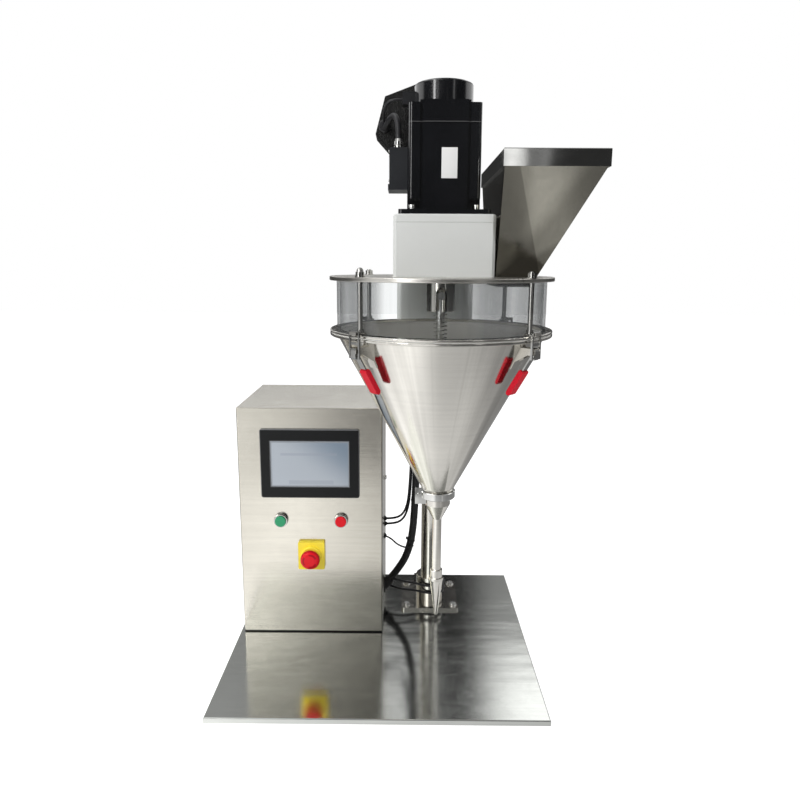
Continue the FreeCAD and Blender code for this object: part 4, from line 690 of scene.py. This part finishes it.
class Maker(Graph):
    # a geometry tree with named inputs, run on an object and kept as a plain mesh
    def __init__(self, name, inputs):
        tree = bpy.data.node_groups.new(name, "GeometryNodeTree")
        super().__init__(tree)
        sockets = [("Geometry", "INPUT", "Geometry"),
                   *((label, "INPUT", kind) for label, kind in inputs.items())]
        for label, side, kind in (*sockets, ("Geometry", "OUTPUT", "Geometry")):
            tree.interface.new_socket(label, in_out=side, socket_type="NodeSocket" + kind)
        self.entry = tree.nodes.new("NodeGroupInput")

    def given(self, label):
        return Wire(self.tree, self.entry.outputs[label])

    def close(self, shape):
        loose = self.add("GeometryNodeRealizeInstances", Geometry=shape)
        painted = self.add("GeometryNodeSetMaterial", Geometry=loose, Material=self.given("Finish"))
        self.tree.links.new(painted.socket, self.tree.nodes.new("NodeGroupOutput").inputs[0])

    def run(self, name, source, body, values, sharp=35):
        modifier = source.modifiers.new(name, "NODES")
        modifier.node_group = self.tree
        for item in self.tree.interface.items_tree:
            if item.in_out == "INPUT" and item.name in values:
                modifier[item.identifier] = values[item.name]
        graph = bpy.context.evaluated_depsgraph_get()
        mesh = bpy.data.meshes.new_from_object(source.evaluated_get(graph), depsgraph=graph)
        source.modifiers.clear()
        bpy.data.objects.remove(source)
        mesh.name = name
        mesh.shade_smooth()
        mesh.set_sharp_from_angle(angle=math.radians(sharp))
        obj = bpy.data.objects.new(name, mesh)
        scene.collection.objects.link(obj)
        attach(obj, body)
        return obj


# screws: one tree sets a head on every point, along the point's own direction
screwTree = Maker("screw_set", {"Head": "Object", "Size": "Float", "Turn Spread": "Float", "Seed": "Int",
                                "Finish": "Material"})
aim = screwTree.add("GeometryNodeInputNamedAttribute", {"data_type": "FLOAT_VECTOR"}, Name="aim")
stood = screwTree.add("FunctionNodeAlignRotationToVector", {"axis": "Z"}, Vector=aim)
spin = screwTree.add("FunctionNodeRandomValue", {"data_type": "FLOAT"}, out=1, s2=0.0,
                     s3=screwTree.given("Turn Spread"), s8=screwTree.given("Seed"))
turned = screwTree.add("FunctionNodeEulerToRotation", Euler=screwTree.add("ShaderNodeCombineXYZ", Z=spin))
laid = screwTree.add("FunctionNodeRotateRotation", {"rotation_space": "LOCAL"}, Rotation=stood,
                     Rotate_By=turned)
head = screwTree.add("GeometryNodeObjectInfo", out=4, Object=screwTree.given("Head"))
screwTree.close(screwTree.add("GeometryNodeInstanceOnPoints", Points=screwTree.given("Geometry"),
                              Instance=head,
                              Rotation=laid, Scale=screwTree.given("Size")))

# head outlines as (reach, height, six-sided), in shares of the head's own radius
headShapes = {
    "socket": ((0, -.06, 0), (1.25, -.06, 0), (1.3, 0, 0), (1.3, .16, 0), (1.24, .22, 0), (1, .22, 0),
               (1, 1.5, 0),
               (.97, 1.56, 0), (.90, 1.6, 0), (.62, 1.6, 1), (.60, .8, 1), (0, .7, 0)),
    "hex": ((0, -.06, 0), (1.4, -.06, 0), (1.45, 0, 0), (1.45, .14, 0), (1.38, .2, 0), (.98, .2, 0),
            (1.12, .24, 1),
            (1.12, .78, 1), (.98, .9, 0), (.4, .92, 0), (0, .92, 0)),
    "button": ((0, -.06, 0), (.97, -.06, 0), (1, 0, 0), (1, .1, 0), (.9, .34, 0), (.72, .48, 0),
               (.52, .54, 0),
               (.44, .54, 1), (.42, .22, 1), (0, .18, 0)),
    "lock": ((0, -.06, 0), (1.2, -.06, 0), (1.25, 0, 0), (1.25, .22, 0), (1.15, .3, 0), (.95, .3, 0),
             (.92, 1.0, 0),
             (.84, 1.1, 0), (.4, 1.12, 0), (.36, .9, 0), (0, .9, 0)),
}
heads = {}
for kind, outlineRows in headShapes.items():
    work = bmesh.new()
    lathe(work, [(reach, height) for reach, height, _ in outlineRows], Matrix(), 24,
          outlineAt=[row for row, facts in enumerate(outlineRows) if facts[2]])
    heads[kind] = finishMesh("head_" + kind, work, None, "screwSteel")
    heads[kind].hide_render = True


def squareSpots(middle, halfX, halfY, height):
    return [(middle[0] + a * halfX, middle[1] + b * halfY, height) for a in (-1, 1) for b in (-1, 1)]


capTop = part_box("motor_rear_cap")[1].z
footLow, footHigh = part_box("column_foot")
column = (footLow + footHigh) / 2
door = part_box("box_rear_door")
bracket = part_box("head_bracket")
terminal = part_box("terminal_box")
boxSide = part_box("control_box_shell")[1].x - 0.0002
doorMiddle = (door[0] + door[1]) / 2
screwSets = {
    "motor_flange_screws": {"head": "socket", "size": 0.0052, "aim": (0, 0, 1), "finish": "screwSteel",
                            "spots": squareSpots(axis, 0.052, 0.052, 0.8775)},
    "motor_cap_screws": {"head": "button", "size": 0.0028, "aim": (0, 0, 1), "finish": "blackPlastic",
                         "spots": squareSpots(axis, 0.027, 0.027, capTop)},
    "foot_bolts": {"head": "hex", "size": 0.0062, "aim": (0, 0, 1), "finish": "screwSteel",
                   "spots": squareSpots(column, 0.053, 0.049, 0.016)},
    "door_screws": {"head": "button", "size": 0.0042, "aim": (0, 1, 0), "finish": "screwSteel",
                    "spots": [(doorMiddle.x + side * 0.132, door[1].y, height)
                              for side in (-1, 1) for height in (0.030, 0.257, 0.484)]},
    "bracket_side_screws": {"head": "socket", "size": 0.0045, "aim": (1, 0, 0), "finish": "screwSteel",
                            "spots": [(bracket[1].x, column.y + 0.030, height)
                                      for height in (0.700, 0.765, 0.830)]},
    "terminal_screws": {"head": "button", "size": 0.0026, "aim": (-1, 0, 0), "finish": "screwSteel",
                        "spots": [(terminal[0].x + 0.002, axis.y + side * 0.024, terminal[1].z - down)
                                  for side in (-1, 1) for down in (0.052, 0.006)]},
    "ferrule_bolts": {"head": "hex", "size": 0.0031, "aim": (0, -1, 0), "finish": "screwSteel",
                      "spots": [(0.0725, axis.y - 0.0125, 0.3776)]},
    "box_lock": {"head": "lock", "size": 0.0052, "aim": (1, 0, 0), "finish": "screwSteel",
                 "spots": [(boxSide + 0.0002, 0.120, 0.3200)]},
}
for seed, (name, facts) in enumerate(screwSets.items()):
    points = bpy.data.meshes.new(name)
    points.from_pydata(facts["spots"], [], [])
    aimed = points.attributes.new("aim", "FLOAT_VECTOR", "POINT")
    for item in aimed.data:
        item.vector = facts["aim"]
    source = bpy.data.objects.new(name + "_spots", points)
    scene.collection.objects.link(source)
    screwTree.run(name, source, "frame", {
        "Head": heads[facts["head"]], "Size": facts["size"], "Turn Spread": 2.0, "Seed": seed,
        "Finish": finishes[facts["finish"]]})
for piece in heads.values():
    bpy.data.objects.remove(piece)
print("screws set", len(screwSets))


# cable bundle: a ribbed sleeve along its line
sleeveTree = Maker("ribbed_sleeve", {"Pitch": "Float", "Depth": "Float", "Radius": "Float",
                                     "Finish": "Material"})
line = sleeveTree.add("GeometryNodeResampleCurve", {"mode": "LENGTH"}, Curve=sleeveTree.given("Geometry"),
                      Length=sleeveTree.given("Pitch") / 4)
place = sleeveTree.add("GeometryNodeInputIndex")
swell = sleeveTree.given("Radius") - sleeveTree.given("Depth") * (place.combine("MODULO", place, 4.0) < 1.5)
section = sleeveTree.add("GeometryNodeCurvePrimitiveCircle", {"mode": "RADIUS"}, Resolution=20, Radius=1.0)
tube = sleeveTree.add("GeometryNodeCurveToMesh", Curve=line, Profile_Curve=section, Scale=swell,
                      Fill_Caps=True)
sleeveTree.close(tube)


def linePoints(obj):
    # points along a cable's own line, without its thickness
    obj.data.bevel_depth = 0
    graph = bpy.context.evaluated_depsgraph_get()
    mesh = bpy.data.meshes.new_from_object(obj.evaluated_get(graph), depsgraph=graph)
    return [vert.co.copy() for vert in mesh.vertices]


bundleLine = linePoints(cables["bundle_line"])
bundle = sleeveTree.run("bundle_sleeve", cables.pop("bundle_line"), "frame", {
    "Pitch": cableLook["bundle"]["pitch"], "Depth": cableLook["bundle"]["depth"],
    "Radius": cableLook["bundle"]["radius"], "Finish": finishes["rubber"]}, sharp=60)
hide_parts("cable_bundle")
for cord in cables.values():
    cord.data.materials.append(finishes["rubber"])

# ties: a flat band round the bundle with its lock head
tieLook = {"band": 0.0024, "proud": 0.0009, "lock": (0.0042, 0.0036, 0.0050),
           "heights": (0.62, 0.50, 0.36, 0.26, 0.165)}
work = bmesh.new()
for height in tieLook["heights"]:
    near = min(range(1, len(bundleLine) - 1), key=lambda index: abs(bundleLine[index].z - height))
    along = bundleLine[near + 1] - bundleLine[near - 1]
    spot = facing(bundleLine[near], along)
    inner, half = cableLook["bundle"]["radius"], tieLook["band"] / 2
    outer = inner + tieLook["proud"]
    lathe(work, [(inner, -half), (outer - 0.0002, -half), (outer, -half + 0.0003), (outer, half - 0.0003),
                 (outer - 0.0002, half), (inner, half)], spot, 32, closed=True)
    wide, deep, tall = tieLook["lock"]
    lock = bmesh.new()
    slab(lock, (-wide / 2, outer - 0.0004, -tall / 2), (wide / 2, outer + deep, tall / 2), 0.0004)
    lock.transform(spot)
    spare = bpy.data.meshes.new("tie_lock")
    lock.to_mesh(spare)
    lock.free()
    work.from_mesh(spare)
finishMesh("cable_ties", work, "frame", "blackPlastic")

# glands where thin leads leave the box's side
glandLook = {"radius": 0.0052, "out": 0.0058, "collar": 0.0068}
work = bmesh.new()
for spot, bore in (((boxSide, 0.1405, 0.213), 0.0026), ((boxSide, 0.151, 0.196), 0.0026),
                   ((boxSide, 0.129, 0.176), 0.0020)):
    lathe(work, [(bore, 0), (glandLook["collar"], 0), (glandLook["collar"], 0.0012),
                 (glandLook["radius"], 0.0016),
                 (glandLook["radius"], 0.0034), (bore + 0.0008, glandLook["out"]), (bore, glandLook["out"])],
          facing(spot, (1, 0, 0)), 28, closed=True)
finishMesh("lead_glands", work, "frame", "rubber")
print("cables dressed")


# motor: its rating plate, left bare
plateLook = {"low": (0.1013, 0.9263), "high": (0.1266, 0.9733), "front": axis.y - 0.0595, "thick": 0.0003,
             "sunk": 0.0005, "soft": 0.00012}
(left, foot), (right, top) = plateLook["low"], plateLook["high"]
work = bmesh.new()
slab(work, (left, plateLook["front"] - plateLook["thick"], foot),
     (right, plateLook["front"] + plateLook["sunk"], top),
     plateLook["soft"])
finishMesh("motor_plate", work, "frame", "labelWhite")

# clamp ear: a flat plate beside the ferrule
earLook = {"low": (0.0655, -0.1455, 0.3600), "high": (0.0860, -0.1425, 0.3905)}
work = bmesh.new()
slab(work, earLook["low"], earLook["high"], 0.0006)
finishMesh("clamp_plate", work, "frame", "mirrorSteel")
print("small parts made")


# stage: plain white to the camera; only mirrored rays meet the light and dark fitted to the photograph
stageLook = {
    "half": 9.0, "lift": -0.0004, "glow": 0.62, "tone": 0.80, "mirrorTone": 0.12, "drift": 0.10, "reach": 1.2,
    # what the metals see in the floor from left to right: close by, further off, and behind
    "near": ((-1.2, 0.70), (-0.60, 0.95), (-0.30, 1.25), (-0.12, 0.90), (0.10, 0.68), (0.45, 0.56),
             (0.75, 0.26),
             (1.2, 0.08)),
    "far": ((-1.2, 0.95), (-0.70, 0.90), (-0.30, 0.30), (-0.13, 0.06), (0.08, 0.20), (0.35, 0.12),
            (0.50, 0.04),
            (0.60, 0.66), (0.72, 0.04), (1.2, 0.06)),
    "back": ((-1.2, 0.06), (-0.40, 0.10), (0.10, 0.30), (0.50, 0.20), (1.2, 0.10)),
    # where the further and back parts take over, and a dimmer field in front, to the right
    "distant": (-0.85, -1.35), "rear": (-0.05, 0.30),
    "dimDeep": (-0.30, -0.62), "dimWide": (-0.22, 0.10), "dim": 0.34}
floorMesh = bpy.data.meshes.new("floor")
half, lift = stageLook["half"], stageLook["lift"]
corners = [(-half, -half, lift), (half, -half, lift), (half, half, lift), (-half, half, lift)]
floorMesh.from_pydata(corners, [], [(0, 1, 2, 3)])
floor = bpy.data.objects.new("floor", floorMesh)
scene.collection.objects.link(floor)
floorFinish = Finish("floor_white")
seen, mirrored, through = rayKinds(floorFinish)
x, y, _ = floorFinish.axes()
near, far, back = [ramp(floorFinish, x, -stageLook["reach"], stageLook["reach"], stageLook[part])
                   for part in ("near", "far", "back")]
drift = floorFinish.noise(floorFinish.place((1.6, 0.7, 1)), 1.0, 2.0, 0.5) - 0.5
dimDeep = softStep(floorFinish, y, *stageLook["dimDeep"])
dimWide = softStep(floorFinish, x, *stageLook["dimWide"])
mirrorLight = near * (1 - dimDeep * dimWide * stageLook["dim"])
mirrorLight = mirrorLight + (far - mirrorLight) * softStep(floorFinish, y, *stageLook["distant"])
mirrorLight = mirrorLight + (back - mirrorLight) * softStep(floorFinish, y, *stageLook["rear"])
mirrorLight = mirrorLight + drift * stageLook["drift"]
glowLevel = larger(seen, through) * stageLook["glow"] + mirrored * mirrorLight
matt = floorFinish.add("ShaderNodeBsdfDiffuse", Color=(stageLook["tone"],) * 3)
plain = floorFinish.add("ShaderNodeBsdfDiffuse", Color=(stageLook["mirrorTone"],) * 3)
glow = floorFinish.add("ShaderNodeEmission", Color=(1.0, 1.0, 1.0), Strength=larger(glowLevel, glowLevel * 0))
base = floorFinish.add("ShaderNodeMixShader", s0=mirrored, s1=matt, s2=plain)
floorFinish.add("ShaderNodeOutputMaterial", Surface=floorFinish.add("ShaderNodeAddShader", s0=base, s1=glow))
floorMesh.materials.append(floorFinish.data)

roomLook = {
    "fill": 0.60, "front": 0.03, "backLow": 0.03, "boxTop": 1.06, "frontDimmed": 0.20,
    # where, along the ray's direction, one part of the room gives way to the next
    "behind": (-0.10, 0.10), "boxTopRise": (0.172, 0.33, 0.008), "trayRise": (0.36, 0.42),
    "trayHighRise": (0.50, 0.585), "frontRise": (0.30, 0.42), "dimRise": (0.50, 0.56),
    "overheadRise": (0.66, 0.80),
    "overhead": ((-1.0, 2.4), (-0.45, 2.3), (-0.20, 0.70), (0.10, 0.42), (1.0, 0.55)),
    # what the tray sees behind from left to right, low and high
    "trayLow": ((-1.0, 0.40), (-0.24, 0.36), (-0.12, 0.16), (-0.01, 0.03), (0.09, 0.01), (0.13, 0.30),
                (0.30, 0.45),
                (1.0, 0.4)),
    "trayHigh": ((-1.0, 0.42), (-0.24, 0.40), (-0.10, 0.30), (0.0, 0.85), (0.06, 0.04), (0.10, 0.06),
                 (0.135, 1.3),
                 (0.17, 1.75), (0.30, 1.75), (1.0, 1.2)),
    # what the box's foot sees in front by way of the tray
    "frontHigh": ((-1.0, 1.3), (-0.30, 3.0), (-0.20, 2.8), (-0.13, 0.9), (-0.05, 0.36), (0.20, 0.26),
                  (1.0, 0.25))}
# bright panels in front as (across, rise, light): three left, two slim strips, one right
windows = (
    ((-0.99, -0.80), (-0.12, 0.06), 0.9), ((-0.68, -0.58), (-0.05, 0.60), 8.0),
    ((-0.50, -0.40), (-0.05, 0.55), 0.8), ((0.146, 0.168), (0.10, 0.22), 1.7),
    ((0.198, 0.205), (0.10, 0.22), 0.6), ((0.52, 0.60), (-0.10, 0.55), 1.1))
windowSoft = 0.03
room = Finish("room", world=True)
seen, mirrored, through = rayKinds(room)
split = room.add("ShaderNodeSeparateXYZ", Vector=room.add("ShaderNodeTexCoord", out=0))
dx, dy, dz = [Wire(room.tree, split.socket.node.outputs[index]) for index in range(3)]


def panel(value, low, high, soft=0.02):
    return softStep(room, value, low - soft, low + soft) * softStep(room, value, high + soft, high - soft)


def across(part):
    return ramp(room, dx, -1, 1, roomLook[part])


def risen(part):
    return softStep(room, dz, *roomLook[part])


behind = softStep(room, dy, *roomLook["behind"])
backLight = over(roomLook["backLow"], roomLook["boxTop"], panel(dz, *roomLook["boxTopRise"]))
tray = over(across("trayLow"), across("trayHigh"), risen("trayHighRise"))
backLight = over(backLight, tray, risen("trayRise"))
frontHigh = across("frontHigh") * over(1.0, roomLook["frontDimmed"], risen("dimRise"))
mirrorLight = over(over(roomLook["front"], frontHigh, risen("frontRise")), backLight, behind)
for wide, tall, light in windows:
    mirrorLight = over(mirrorLight, light, panel(dx, *wide) * panel(dz, *tall, windowSoft) * (1 - behind))
mirrorLight = over(mirrorLight, across("overhead"), risen("overheadRise"))
strength = mirrored * mirrorLight + (1 - mirrored) * roomLook["fill"]
strength = strength + larger(seen, through) * (1 - strength)
backdrop = room.add("ShaderNodeBackground", Color=(1.0, 1.0, 1.0), Strength=strength)
room.add("ShaderNodeOutputWorld", Surface=backdrop)
scene.world = room.data

lamps = {
    "keyLamp": {"place": (-1.5, -1.9, 2.3), "size": (1.4, 1.4), "watts": 34, "aim": (0.0, 0.0, 0.5)},
    "fillLamp": {"place": (1.9, -1.5, 1.4), "size": (0.9, 1.8), "watts": 10, "aim": (0.1, 0.0, 0.5)},
    "sideLamp": {"place": (-1.5, -1.1, 0.98), "size": (0.5, 0.5), "watts": 11, "aim": (0.15, -0.05, 0.68)},
    "topLamp": {"place": (0.1, 0.2, 2.9), "size": (2.2, 1.6), "watts": 24, "aim": (0.1, -0.05, 0.4)},
}
for name, facts in lamps.items():
    data = bpy.data.lights.new(name, "AREA")
    data.shape = "RECTANGLE"
    data.size, data.size_y = facts["size"]
    data.energy = facts["watts"]
    lamp = bpy.data.objects.new(name, data)
    lamp.location = facts["place"]
    lamp.visible_glossy = False   # the metals mirror the room alone
    lamp.rotation_euler = (Vector(facts["aim"]) - lamp.location).to_track_quat("-Z", "Y").to_euler()
    scene.collection.objects.link(lamp)
print("stage lit")
